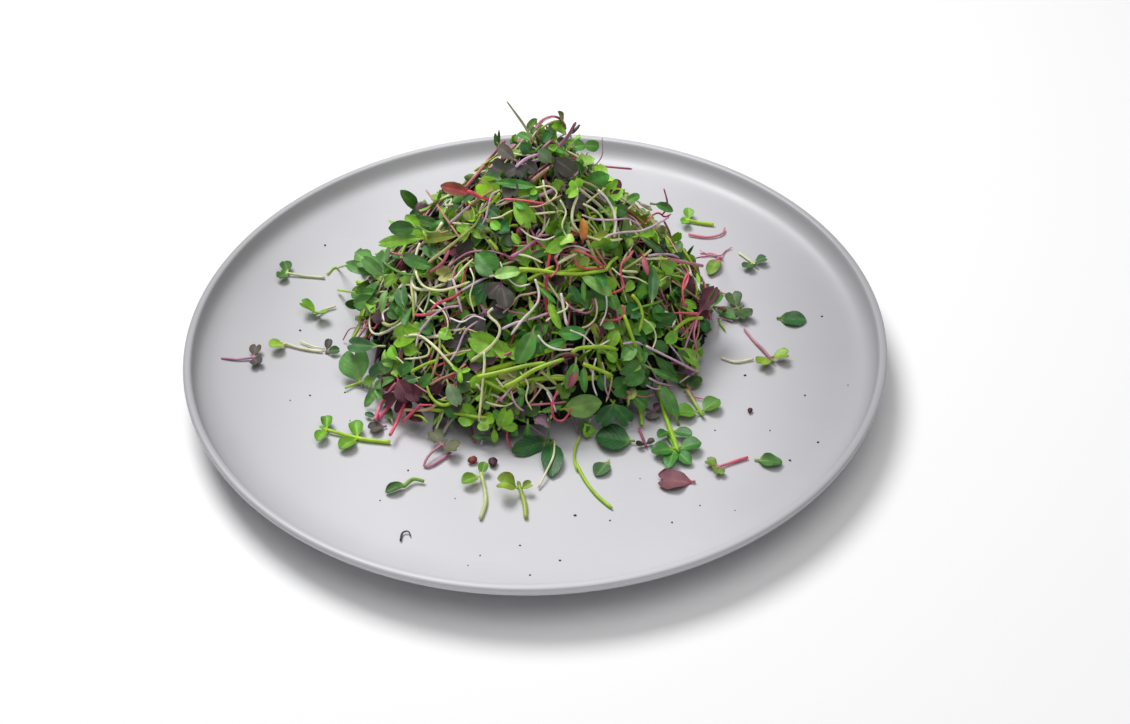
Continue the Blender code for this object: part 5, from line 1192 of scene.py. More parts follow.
# leaves: look, form, foot and tip in pixels, width in pixels, lift at foot and tip, cup, roll, tone
BLADES = [
    # peak
    ("dark", "round", (531, 153), (521, 143), 12, 2, 3, 0.5, 0, 1.1),
    ("kale", "oval", (532, 140), (518, 135), 8, 2, 2.5, 0.5, 10, 0.9),
    ("radish", "round", (566, 132), (551, 126), 13, 3, 4, 0.5, 0, 0.92),
    ("olive", "oval", (563, 122), (558, 111), 8, 2, 2, 0.6, 10, 0.7),
    ("dark", "oval", (539, 147), (551, 131), 9, 2.5, 3, 0.5, 0, 1.1),
    ("radish", "round", (527, 129), (537, 119), 8, 1, 1, 0.5, 0, 0.6),
    ("radish", "small", (514, 143), (517, 134), 7, 1, 1, 0.4, 0, 0.9),
    ("kale", "oval", (497, 147), (495, 133), 5, 1, 0, 0.8, 20, 0.9),
    ("moss", "long", (499, 144), (499, 130), 3, 1, 0, 0.8, 20, 1.0),
    ("moss", "round", (567, 146), (557, 139), 9, 3, 3.5, 0.4, 0, 0.9),
    ("kale", "oval", (566, 153), (547, 147), 7, 3, 3.6, 0.9, 20, 1.5),
    ("kale", "round", (572, 147), (585, 145), 12, 2, 1, 0.4, 0, 1.0),
    ("kale", "round", (584, 145), (599, 147), 12, 1.5, 1, 0.4, 0, 1.1),
    ("purple", "coty", (515, 160), (500, 151), 13, 3, 3.4, 0.4, 0, 1.1),
    ("purple", "coty", (518, 166), (504, 174), 14, 3.8, 4.2, 0.4, 0, 1.0),
    ("purple", "coty", (517, 164), (524, 178), 12, 3.2, 3.8, 0.4, 0, 0.9),
    ("purple", "round", (524, 162), (537, 172), 13, 2.6, 3, 0.4, 0, 1.1),
    ("grey_green", "coty", (551, 162), (538, 150), 14, 3, 3.8, 0.5, 0, 0.9),
    ("grey_dark", "heart", (553, 158), (576, 174), 18, 3.4, 4.2, 0.4, 0, 1.1),
    ("pea", "oval", (536, 187), (497, 182), 10, 3.4, 4, 0.5, 10, 1.15),
    ("kale_dark", "round", (501, 180), (485, 176), 11, 3, 3.4, 0.4, 0, 0.95),
    ("fresh", "heart", (578, 188), (566, 196), 11, 4, 4.6, 0.7, 0, 1.05),
    ("fresh", "heart", (578, 190), (574, 179), 15, 4, 4.2, 0.6, 0, 1.1),
    ("radish", "coty", (603, 188), (598, 165), 15, 1.5, 1.5, 0.5, 0, 1.0),
    ("burgundy", "round", (611, 194), (618, 184), 12, 1, 1, 0.4, 0, 0.8),
    ("radish", "coty", (564, 190), (553, 181), 12, 2.6, 3.2, 0.5, 0, 0.75),
    ("radish", "small", (545, 151), (558, 146), 8, 2, 3, 0.5, 0, 0.9),
    ("pea", "oval", (538, 192), (529, 201), 9, 2, 3, 0.8, 0, 1.1),
    ("lime", "long", (537, 190), (530, 194), 6, 3, 3.6, 0.5, 0, 1.1),
    # upper left
    ("dark_bright", "oval", (417, 209), (400, 190), 13, 2, 1.5, 0.7, 10, 0.9),
    ("dark_bright", "oval", (417, 208), (413, 221), 9, 2, 2, 0.6, 0, 0.9),
    ("olive", "oval", (459, 235), (424, 241), 10, 3, 3.4, 0.5, 0, 0.9),
    ("fresh", "coty", (426, 237), (388, 250), 12, 2.4, 2, 0.6, 0, 0.75),
    ("fresh", "round", (424, 236), (414, 223), 14, 2, 1.6, 0.5, 0, 0.85),
    ("fresh", "long", (412, 241), (395, 226), 5, 2, 1, 0.9, 20, 0.9),
    ("moss", "round", (438, 224), (422, 221), 11, 2.6, 2.8, 0.4, 0, 0.9),
    ("olive", "round", (471, 222), (468, 209), 12, 3, 3.2, 0.4, 0, 0.85),
    ("kale_dark", "round", (488, 228), (474, 220), 12, 3.2, 3.6, 0.5, 0, 0.85),
    ("kale_dark", "coty", (500, 217), (487, 207), 14, 2.6, 3.4, 0.5, 0, 0.9),
    ("cress", "round", (500, 229), (491, 222), 10, 3, 3.6, 0.4, 0, 1.25),
    ("radish", "oval", (487, 237), (472, 231), 10, 3, 3.4, 0.5, 0, 0.8),
    ("kale_dark", "round", (438, 257), (425, 245), 14, 2.6, 3, 0.4, 0, 0.85),
    ("dark_bright", "oval", (436, 268), (404, 257), 14, 2.2, 2.6, 0.5, 0, 0.95),
    ("dark_bright", "heart", (476, 251), (497, 275), 25, 3, 4, 0.45, 0, 0.9),
    ("leaf_light", "oval", (522, 271), (494, 276), 14, 4, 4.6, 0.7, 15, 0.95),
    ("radish", "coty", (512, 233), (520, 244), 8, 3, 3.6, 0.6, 0, 0.8),
    ("pea", "oval", (440, 194), (459, 207), 9, 2.2, 3, 0.7, 0, 1.2),
    ("kale_dark", "oval", (462, 202), (478, 193), 10, 2, 2.6, 0.6, 0, 0.9),
    ("radish", "coty", (455, 187), (458, 203), 7, 2, 2, 0.7, 0, 0.6),
    ("dark", "coty", (430, 208), (446, 217), 10, 1.5, 2, 0.5, 0, 0.9),
    ("radish", "oval", (455, 226), (476, 231), 10, 2.4, 2.8, 0.5, 0, 0.95),
    ("tan", "oval", (470, 226), (461, 243), 9, 3.2, 3.6, 0.5, 0, 0.8),
    ("purple", "coty", (458, 258), (472, 240), 16, 1.4, 1.8, 0.4, 0, 0.45),
    # middle
    ("radish", "heart", (514, 202), (534, 226), 19, 3.6, 4.6, 0.55, 0, 0.85),
    ("pea", "oval", (515, 203), (527, 208), 9, 4.4, 4.8, 0.8, 0, 1.3),
    ("orange", "long", (583, 240), (583, 218), 9, 4.4, 5.0, 0.6, 0, 1.0),
    ("fresh", "coty", (545, 252), (567, 238), 15, 3.6, 4.4, 0.9, 10, 0.9),
    ("grey_green", "round", (500, 232), (513, 246), 12, 1.5, 2, 0.5, 0, 0.7),
    ("olive", "coty", (590, 238), (612, 237), 11, 3, 3.6, 0.5, 0, 1.35),
    ("moss", "oval", (529, 257), (548, 251), 8, 2.6, 3, 0.4, 0, 0.95),
    ("pea", "oval", (598, 248), (619, 243), 8, 3, 3.4, 0.5, 0, 0.9),
    ("leaf_light", "oval", (613, 296), (582, 277), 14, 4, 4.4, 0.4, 0, 0.82),
    ("kale", "oval", (584, 278), (585, 302), 6, 3.2, 3.8, 0.6, 20, 1.0),
    ("kale", "coty", (610, 293), (617, 310), 11, 3.6, 4, 0.4, 0, 0.95),
    ("dark", "oval", (570, 285), (578, 303), 12, 2, 2.4, 0.4, 0, 1.0),
    ("radish", "coty", (606, 276), (613, 291), 14, 2.4, 3, 0.5, 0, 0.8),
    ("grey_dark", "coty", (500, 283), (487, 297), 18, 4, 4.6, 0.35, 0, 1.0),
    ("grey_dark", "coty", (502, 285), (507, 309), 18, 4.2, 5, 0.35, 0, 1.15),
    ("fresh", "oval", (549, 301), (561, 329), 9, 3.6, 4.4, 0.8, 15, 1.0),
    ("pea", "long", (540, 288), (556, 304), 5, 3.6, 4.2, 0.7, 0, 1.3),
    ("kale", "oval", (533, 331), (517, 364), 20, 3.6, 4.6, 0.35, 0, 0.95),
    ("kale", "oval", (533, 331), (541, 342), 12, 3.2, 3.8, 0.4, 0, 0.9),
    ("dark_bright", "heart", (528, 338), (538, 356), 20, 2.4, 3, 0.5, 0, 0.85),
    ("radish", "coty", (504, 354), (469, 336), 23, 3, 3.8, 0.4, 0, 0.85),
    ("radish", "coty", (498, 340), (506, 358), 14, 2.6, 3.2, 0.4, 0, 0.75),
    ("pea", "oval", (557, 333), (586, 332), 15, 3.2, 4, 0.4, 0, 1.15),
    ("pea", "oval", (566, 340), (546, 346), 9, 2.6, 3, 0.5, 0, 1.1),
    ("purple", "oval", (472, 337), (443, 344), 14, 2.2, 2.6, 0.4, 0, 0.5),
    ("dark", "coty", (486, 282), (466, 292), 14, 2.4, 3, 0.4, 0, 1.1),
    ("dark", "coty", (486, 284), (478, 304), 12, 2.2, 2.8, 0.4, 0, 1.0),
    ("burgundy", "round", (614, 318), (604, 308), 13, 2.2, 2.6, 0.4, 0, 0.5),
    ("burgundy", "oval", (603, 337), (598, 323), 8, 3.4, 4, 0.5, 0, 0.8),
    ("olive", "coty", (598, 337), (593, 323), 8, 3, 3.6, 0.5, 0, 1.1),
    ("fresh", "coty", (609, 348), (617, 331), 13, 3, 3.6, 0.5, 0, 0.8),
    ("kale_bright", "coty", (636, 345), (622, 360), 14, 4, 4.4, 0.4, 0, 1.1),
    ("fresh", "coty", (606, 352), (617, 360), 12, 3, 3.6, 0.5, 0, 0.7),
    ("dark_bright", "heart", (646, 368), (620, 378), 25, 3.6, 4.4, 0.5, 0, 0.85),
    ("kale", "oval", (576, 362), (566, 389), 14, 4.4, 5, 0.5, 0, 1.05),
    ("pink_leaf", "oval", (576, 369), (569, 388), 9, 4.8, 5.2, 0.5, 0, 0.75),
    ("kale", "oval", (584, 366), (585, 393), 9, 3.8, 4.2, 0.6, 15, 0.95),
    ("dark", "oval", (600, 374), (605, 391), 12, 2.4, 2.8, 0.4, 0, 1.0),
    ("kale", "round", (652, 354), (644, 346), 9, 3, 3.6, 0.4, 0, 0.9),
    ("dark_bright", "oval", (646, 350), (640, 366), 8, 3, 3.6, 0.6, 0, 0.95),
    ("fresh", "coty", (625, 292), (633, 281), 10, 2.8, 3.2, 0.6, 0, 0.7),
    ("dark", "heart", (640, 306), (628, 316), 18, 2.2, 2.6, 0.4, 0, 1.1),
    ("pea", "oval", (654, 303), (662, 322), 13, 3, 3.4, 0.3, 0, 0.9),
    ("fresh", "long", (530, 300), (536, 318), 6, 2.6, 3.4, 0.6, 0, 0.8),
    ("cress", "coty", (452, 338), (440, 330), 13, 4, 4.6, 0.5, 0, 1.15),
    ("fresh", "small", (460, 372), (471, 369), 5, 4.8, 5.2, 0.4, 0, 1.1),
    ("fresh", "small", (460, 371), (461, 383), 6, 4.8, 5, 0.4, 0, 1.1),
    ("fresh", "small", (460, 372), (452, 366), 4, 4.8, 5, 0.4, 0, 1.1),
    ("moss", "coty", (474, 386), (458, 380), 22, 1.6, 2, 0.4, 0, 0.8),
    ("kale", "round", (522, 394), (520, 407), 7, 4, 4.4, 0.4, 0, 0.95),
    ("kale", "small", (518, 388), (524, 394), 7, 4, 4.6, 0.5, 0, 1.2),
    ("radish", "heart", (500, 428), (508, 407), 17, 2.6, 4, 0.5, 0, 0.98),
    ("radish", "coty", (501, 426), (518, 427), 10, 2.6, 3, 0.5, 0, 0.95),
    ("kale", "coty", (503, 424), (494, 409), 9, 2.2, 2.8, 0.5, 0, 0.8),
    ("grey_green", "round", (480, 421), (492, 427), 9, 2, 2, 0.5, 0, 1.25),
    ("kale_dark", "oval", (494, 438), (471, 436), 6, 0.8, 0.8, 0.5, 0, 0.8),
    ("fresh", "small", (494, 428), (495, 443), 7, 1.2, 1.0, 0.5, 0, 0.95),
    ("pea", "oval", (528, 424), (525, 446), 9, 2.0, 1.6, 0.6, 0, 0.8),
    ("pea", "oval", (540, 412), (562, 406), 6, 3.4, 3.8, 0.5, 10, 0.9),
    ("moss", "coty", (540, 404), (526, 414), 14, 1.8, 2.2, 0.5, 0, 0.9),
    # left
    ("kale_bright", "lobed", (383, 272), (358, 254), 22, 2, 1.5, 0.4, 0, 1.0),
    ("kale_bright", "coty", (378, 274), (345, 264), 13, 1.6, 1.2, 0.5, 0, 0.95),
    ("kale_bright", "coty", (384, 276), (372, 262), 14, 2.4, 2.4, 0.4, 0, 1.0),
    ("kale", "coty", (380, 300), (357, 305), 15, 1.6, 1.2, 0.4, 0, 0.85),
    ("moss", "round", (358, 305), (345, 303), 10, 1, 0.8, 0.4, 0, 0.95),
    ("kale", "coty", (380, 292), (360, 296), 12, 1.8, 1.6, 0.4, 0, 1.0),
    ("radish", "coty", (369, 296), (374, 314), 10, 2.4, 2.4, 0.6, 0, 0.85),
    ("kale_bright", "oval", (382, 314), (387, 290), 9, 3, 3, 0.6, 10, 0.95),
    ("kale_dark", "heart", (404, 309), (401, 287), 15, 2.4, 3, 0.35, 0, 0.95),
    ("radish", "round", (384, 284), (398, 277), 13, 2.6, 3, 0.4, 0, 0.8),
    ("radish", "heart", (421, 331), (394, 339), 22, 3.4, 3.8, 0.5, 0, 0.95),
    ("radish", "heart", (415, 339), (412, 322), 18, 3.0, 3.4, 0.5, 0, 0.8),
    ("radish", "round", (417, 352), (404, 345), 16, 3, 3.4, 0.4, 0, 0.85),
    ("dark_bright", "coty", (421, 321), (433, 334), 15, 2.6, 3.2, 0.5, 0, 0.7),
    ("cress", "coty", (397, 360), (390, 346), 13, 3, 3.4, 0.4, 0, 1.2),
    ("moss", "coty", (388, 310), (398, 318), 10, 2.2, 2.6, 0.7, 0, 0.9),
    ("kale_bright", "oval", (378, 386), (365, 407), 10, 1.4, 0.8, 0.5, 0, 0.9),
    ("kale_bright", "oval", (374, 384), (386, 404), 9, 1.2, 0.8, 0.5, 0, 0.95),
    ("kale_bright", "oval", (374, 388), (396, 378), 10, 1.6, 2.0, 0.5, 0, 0.9),
    ("kale_dark", "round", (403, 378), (407, 363), 10, 3, 3.6, 0.4, 0, 1.1),
    ("kale_dark", "round", (418, 378), (402, 382), 10, 3.4, 3.8, 0.4, 0, 1.1),
    ("dark", "coty", (376, 419), (365, 415), 6, 0.5, 0.5, 0.3, 0, 0.9),
    ("moss", "oval", (392, 421), (385, 406), 9, 1.4, 1.6, 0.5, 0, 1.1),
    # lower left cluster
    ("burgundy", "heart", (398, 380), (411, 402), 20, 3.6, 4.2, 0.6, 0, 0.95),
    ("burgundy", "heart", (403, 386), (422, 398), 17, 3.4, 4.0, 0.6, 0, 0.85),
    ("burgundy", "heart", (400, 394), (384, 401), 13, 3.6, 4.0, 0.7, 0, 0.85),
    ("burgundy", "oval", (402, 396), (396, 413), 8, 3.8, 4.0, 0.7, 0, 0.8),
    ("burgundy", "coty", (406, 411), (424, 420), 13, 2.4, 2.4, 0.5, 0, 0.85),
    ("burgundy", "coty", (440, 380), (434, 394), 13, 2.6, 3.0, 0.5, 0, 0.65),
    ("grey_green", "coty", (448, 383), (459, 406), 15, 3.4, 4.2, 0.4, 0, 0.95),
    ("purple", "coty", (462, 400), (452, 410), 12, 2.6, 2.8, 0.4, 0, 0.85),
    ("kale_bright", "coty", (394, 358), (381, 372), 14, 2.6, 2.2, 0.5, 0, 0.9),
    ("kale_dark", "heart", (378, 346), (351, 344), 16, 1.6, 1.0, 0.4, 0, 0.95),
    ("pea", "oval", (398, 374), (413, 363), 12, 3.2, 3.6, 0.5, 0, 1.0),
    ("radish", "coty", (384, 352), (392, 367), 12, 2.4, 2.4, 0.5, 0, 0.7),
    ("dark_bright", "oval", (418, 388), (433, 374), 12, 3.0, 3.4, 0.4, 0, 0.9),
    ("kale_dark", "coty", (426, 398), (415, 383), 12, 2.6, 2.8, 0.5, 0, 0.95),
    ("dark", "oval", (385, 362), (370, 376), 10, 1.4, 0.9, 0.5, 0, 1.0),
    ("dark_bright", "round", (444, 402), (457, 418), 12, 1.8, 1.4, 0.4, 0, 0.9),
    ("purple", "small", (327, 351), (330, 340), 8, 1.0, 2.6, 0.6, 0, 0.9),
    ("kale_dark", "small", (328, 352), (340, 351), 9, 1.0, 1.4, 0.5, 0, 0.7),
    ("dark_bright", "round", (667, 352), (655, 341), 12, 3.0, 3.4, 0.4, 0, 0.8),
    ("kale", "coty", (688, 364), (676, 351), 12, 2.4, 2.8, 0.5, 0, 0.7),
    ("dark", "oval", (672, 372), (662, 361), 11, 2.4, 2.8, 0.4, 0, 1.0),
    ("moss", "coty", (690, 350), (684, 338), 10, 2.2, 2.6, 0.5, 0, 0.9),
    ("pea", "oval", (674, 452), (668, 470), 15, 0.8, 0.5, 0.5, 0, 0.9),
    ("pea", "oval", (676, 452), (691, 466), 14, 0.8, 0.5, 0.5, 0, 0.85),
    # right
    ("dark_bright", "oval", (655, 204), (673, 211), 10, 1.5, 1.5, 0.5, 0, 1.0),
    ("fresh", "coty", (638, 236), (654, 231), 11, 3.2, 3.6, 0.7, 0, 0.8),
    ("kale_dark", "long", (641, 237), (664, 254), 6, 3.4, 3.8, 0.5, 0, 1.0),
    ("kale", "round", (626, 202), (638, 198), 9, 1.2, 1.2, 0.4, 0, 1.0),
    ("dark_bright", "oval", (610, 208), (627, 212), 14, 2.2, 2.4, 0.5, 0, 0.9),
    ("fresh", "oval", (603, 212), (614, 206), 5, 3, 3.4, 0.6, 0, 0.95),
    ("fresh", "coty", (672, 242), (680, 232), 10, 2, 2, 0.5, 0, 1.1),
    ("moss", "coty", (678, 249), (686, 258), 11, 2, 2.2, 0.5, 0, 0.8),
    ("moss", "long", (686, 257), (694, 245), 3.5, 2, 1.5, 0.8, 0, 1.0),
    ("fresh", "heart", (661, 262), (675, 271), 15, 3.2, 3.6, 0.5, 0, 0.75),
    ("pink_leaf", "long", (643, 256), (648, 276), 6, 4.4, 4.8, 0.4, 0, 1.0),
    ("kale_dark", "oval", (652, 302), (653, 267), 12, 4, 4.4, 0.5, 0, 1.05),
    ("burgundy", "oval", (687, 270), (691, 291), 9, 3.6, 4, 0.5, 0, 0.7),
    ("coral_leaf", "long", (688, 272), (683, 290), 5, 4.4, 4.8, 0.4, 0, 1.0),
    ("fresh", "long", (697, 292), (696, 274), 5, 3.2, 3.4, 0.6, 0, 0.85),
    ("burgundy", "coty", (700, 312), (712, 288), 17, 3.4, 3.6, 0.45, 0, 0.75),
    ("moss", "coty", (707, 306), (716, 290), 10, 3.8, 4.0, 0.5, 0, 1.2),
    ("cress", "coty", (678, 332), (665, 342), 13, 3.8, 4.2, 0.4, 0, 1.05),
    ("fresh", "coty", (678, 348), (699, 362), 14, 3, 3.2, 0.5, 0, 0.95),
    ("moss", "round", (688, 388), (700, 377), 13, 1.4, 1.4, 0.5, 0, 0.95),
    ("dark_bright", "oval", (655, 356), (677, 379), 11, 3, 3.2, 0.5, 0, 0.85),
    ("kale", "oval", (650, 368), (678, 381), 8, 3.4, 3.6, 0.5, 0, 1.0),
    ("dark_bright", "oval", (677, 421), (661, 388), 15, 1.4, 2.8, 0.3, 0, 0.85),
    ("dark", "coty", (702, 318), (707, 332), 11, 1.8, 1.6, 0.4, 0, 1.0),
    ("dark", "heart", (613, 404), (599, 425), 18, 2.4, 2.4, 0.4, 0, 0.75),
    ("dark", "heart", (614, 404), (630, 424), 17, 2.4, 2.2, 0.4, 0, 1.05),
    ("kale", "coty", (630, 394), (646, 409), 14, 2.4, 2.4, 0.5, 0, 0.95),
    ("kale", "oval", (634, 392), (650, 398), 10, 2.6, 2.6, 0.5, 0, 0.8),
    ("dark_bright", "coty", (716, 308), (737, 320), 12, 0.9, 0.9, 0.3, 0, 0.95),
    ("kale", "coty", (712, 306), (718, 292), 10, 1.5, 1.2, 0.5, 0, 0.9),
    ("fresh", "coty", (585, 424), (592, 436), 13, 1.6, 1.2, 0.5, 0, 0.75),
    ("moss", "coty", (590, 420), (580, 432), 11, 1.4, 1.2, 0.5, 0, 0.8),
]
LOOKS["coral_leaf"] = look("pink_leaf", top=srgb(206, 92, 100), under=srgb(200, 96, 104))

HERO_SLOT = {"olive": "stem_cream", "tan": "stem_cream", "mauve": "stem_pink", "rose": "stem_pink", "coral": "stem_pink",
             "white": "stem_cream", "butter": "stem_cream", "orange": "leaf_purple", "pink_leaf": "leaf_purple",
             "coral_leaf": "leaf_purple", "grey_green": "leaf_grey_purple", "moss": "leaf_dark", "fresh": "leaf_green",
             "stalk": "stem_lime", "lime": "stem_lime", "lilac": "stem_pink", "red": "stem_pink", "brown": "stem_pink",
             "dark": "leaf_dark", "kale": "leaf_dark", "kale_dark": "leaf_dark", "kale_bright": "leaf_green",
             "radish": "leaf_green", "cress": "leaf_green", "pea": "leaf_dark", "leaf_light": "leaf_green",
             "dark_bright": "leaf_dark", "grey_dark": "leaf_grey_purple", "purple": "leaf_grey_purple",
             "burgundy": "leaf_purple"}


def near(px, py, lift):
    """The point of a pixel's line of sight on the heap, or closest to it where the line passes the heap by."""
    d = ray(px, py)
    t = (140.0 - CAM.z) / d.z
    best, best_gap = None, 30.0
    while True:
        p = CAM + d * t
        gap = p.z - level(p.x, p.y)
        if gap <= 0.3:
            break
        if level(p.x, p.y) > FLOOR_Z + 3 and gap < best_gap:
            best, best_gap = p.copy(), gap
        t += 1.0
    if best is not None and level(p.x, p.y) <= FLOOR_Z + 0.5:
        return best
    return on(px, py, lift)


def hero_stems():
    groups = {}
    for row in STEMS:
        groups.setdefault(HERO_SLOT[row[0]], []).append(row)
    for slot, rows in groups.items():
        parts = max(1, math.ceil(len(rows) / 36))
        for g in range(parts):
            batch = Batch("near_stems_%s_%d" % (slot, g + 1), slot, ["sprout_heap"])
            for kind, r0, r1, lift, pix in rows[g::parts]:
                pts = [near(x, y, lift) for x, y in pix]
                for a, b, c in zip(pts, pts[1:], pts[2:]):
                    b.z = max(b.z, min(a.z, c.z) - 6)
                curve = spline(pts, 7)
                for p in curve:
                    p.z = max(p.z, level(p.x, p.y) + min(lift, 1.0) * 0.5 + r0 * 0.5, FLOOR_Z + r0 + 0.1)
                length = sum((b - a).length for a, b in zip(curve, curve[1:]))
                stem(batch, curve, r0 * 0.80, r1 * 0.80, LOOKS[kind], n=max(10, min(34, int(length / 1.1))), sides=8)
            batch.build()


def hero_blades():
    groups = {}
    for row in BLADES:
        groups.setdefault(HERO_SLOT[row[0]], []).append(row)
    for slot, rows in groups.items():
        parts = max(1, math.ceil(len(rows) / 24))
        for g in range(parts):
            batch = Batch("near_leaves_%s_%d" % (slot, g + 1), slot, ["sprout_heap"])
            for row in rows[g::parts]:
                blade_at(batch, row)
            batch.build()


def blade_at(batch, row):
    """One leaf between two pixels of the image."""
    kind, form, foot, tip, wide, l0, l1, cup, roll, tone = row
    lk = dict(LOOKS[kind])
    for key in ("top", "under", "vein", "edge"):
        if key in lk:
            lk[key] = tuple(np.array(lk[key]) * tone * (1.0 if kind in ("burgundy", "purple", "pink_leaf", "coral_leaf") else 1.5))
    lk["vary"], lk["hue"] = 0.06, 0.05
    a, b = near(foot[0], foot[1], l0), near(tip[0], tip[1], l1)
    axis = b - a
    cap = 1.5 * math.hypot(foot[0] - tip[0], foot[1] - tip[1]) * (a - CAM).length / FOCAL_PX
    if axis.length > cap:
        # keep the blade's own length and let it lie nearer the picture plane
        side = axis - fwd * axis.dot(fwd)
        depth = math.sqrt(max(0.0, cap * cap - side.length_squared))
        axis = side + fwd * math.copysign(min(depth, abs(axis.dot(fwd))), axis.dot(fwd))
    L = axis.length
    W = wide * (a - CAM).length / FOCAL_PX
    sight = (CAM - a).normalized()
    nrm = slope_normal(a.x, a.y)
    up = (sight * 0.72 + nrm * 0.28 + Vector((rng.gauss(0, .1), rng.gauss(0, .1), rng.gauss(0, .1))))
    across = axis.normalized().cross(up).normalized()
    up = across.cross(axis.normalized())
    up = up * math.cos(math.radians(roll)) + across * math.sin(math.radians(roll))
    bow = rng.uniform(0.15, 0.55)
    first = len(batch.v)
    grip = a - axis.normalized() * (L * 0.16) - up * 1.6
    petiole(batch, grip, a + axis * 0.04, 0.48, 0.36, lk)
    if form == "small":
        form = "coty"
    leaf_mesh(batch, a, axis, up, L * (1 + bow * 0.06), W * (1 + 0.10 * cup), form, lk, bow, -bow, cup,
              rng.uniform(0.02, 0.06), rng.uniform(-0.25, 0.25))
    lift_clear(batch, first, FLOOR_Z + 0.12)


def shown_leaf(name, slot, *row):
    """A leaf that the CAD holds as its own node, where the image shows it."""
    batch = Batch("shown_" + name, slot, [name])
    blade_at(batch, row)
    return batch.build()


def shown_leaves():
    shown_leaf("leaf_heart_left", "leaf_dark", "kale_bright", "heart", (360, 382), (354, 349), 35, 1.5, 3.0, 0.35, 0, 0.95)
    shown_leaf("leaf_oval_front_a", "leaf_dark", "dark", "round", (546, 444), (512, 454), 20, 0.6, 0.5, 0.2, 0, 0.75)
    shown_leaf("leaf_oval_front_b", "leaf_dark", "dark", "oval", (552, 443), (552, 478), 23, 0.9, 0.4, 0.25, 0, 0.8)


# ---------------------------------------------------------------------------
# the tangled heap: many single sprouts
# ---------------------------------------------------------------------------
def heap_path(x, y, heading, length, d0, d1, bend, n=12, wiggle=0.16):
    """A stem that follows the heap's slope at a depth that runs from d0 to d1."""
    pts = []
    a = heading
    step = length / (n - 1)
    wob, rate = rng.uniform(0, 6.28), rng.uniform(3.0, 7.0)
    for i in range(n):
        t = i / (n - 1)
        nrm = slope_normal(x, y)
        depth = d0 + (d1 - d0) * t
        z = level(x, y)
        p = Vector((x, y, z)) - nrm * depth
        p.z = max(p.z, FLOOR_Z + 0.9)
        pts.append(p)
        a += bend / (n - 1) + wiggle * math.sin(rate * t + wob)
        dx, dy = math.cos(a), math.sin(a)
        dz = (level(x + dx * 2, y + dy * 2) - z) / 2
        run = step / math.sqrt(1 + dz * dz)
        x += dx * run
        y += dy * run
        if math.hypot(x, y) > 116:
            break
    return pts


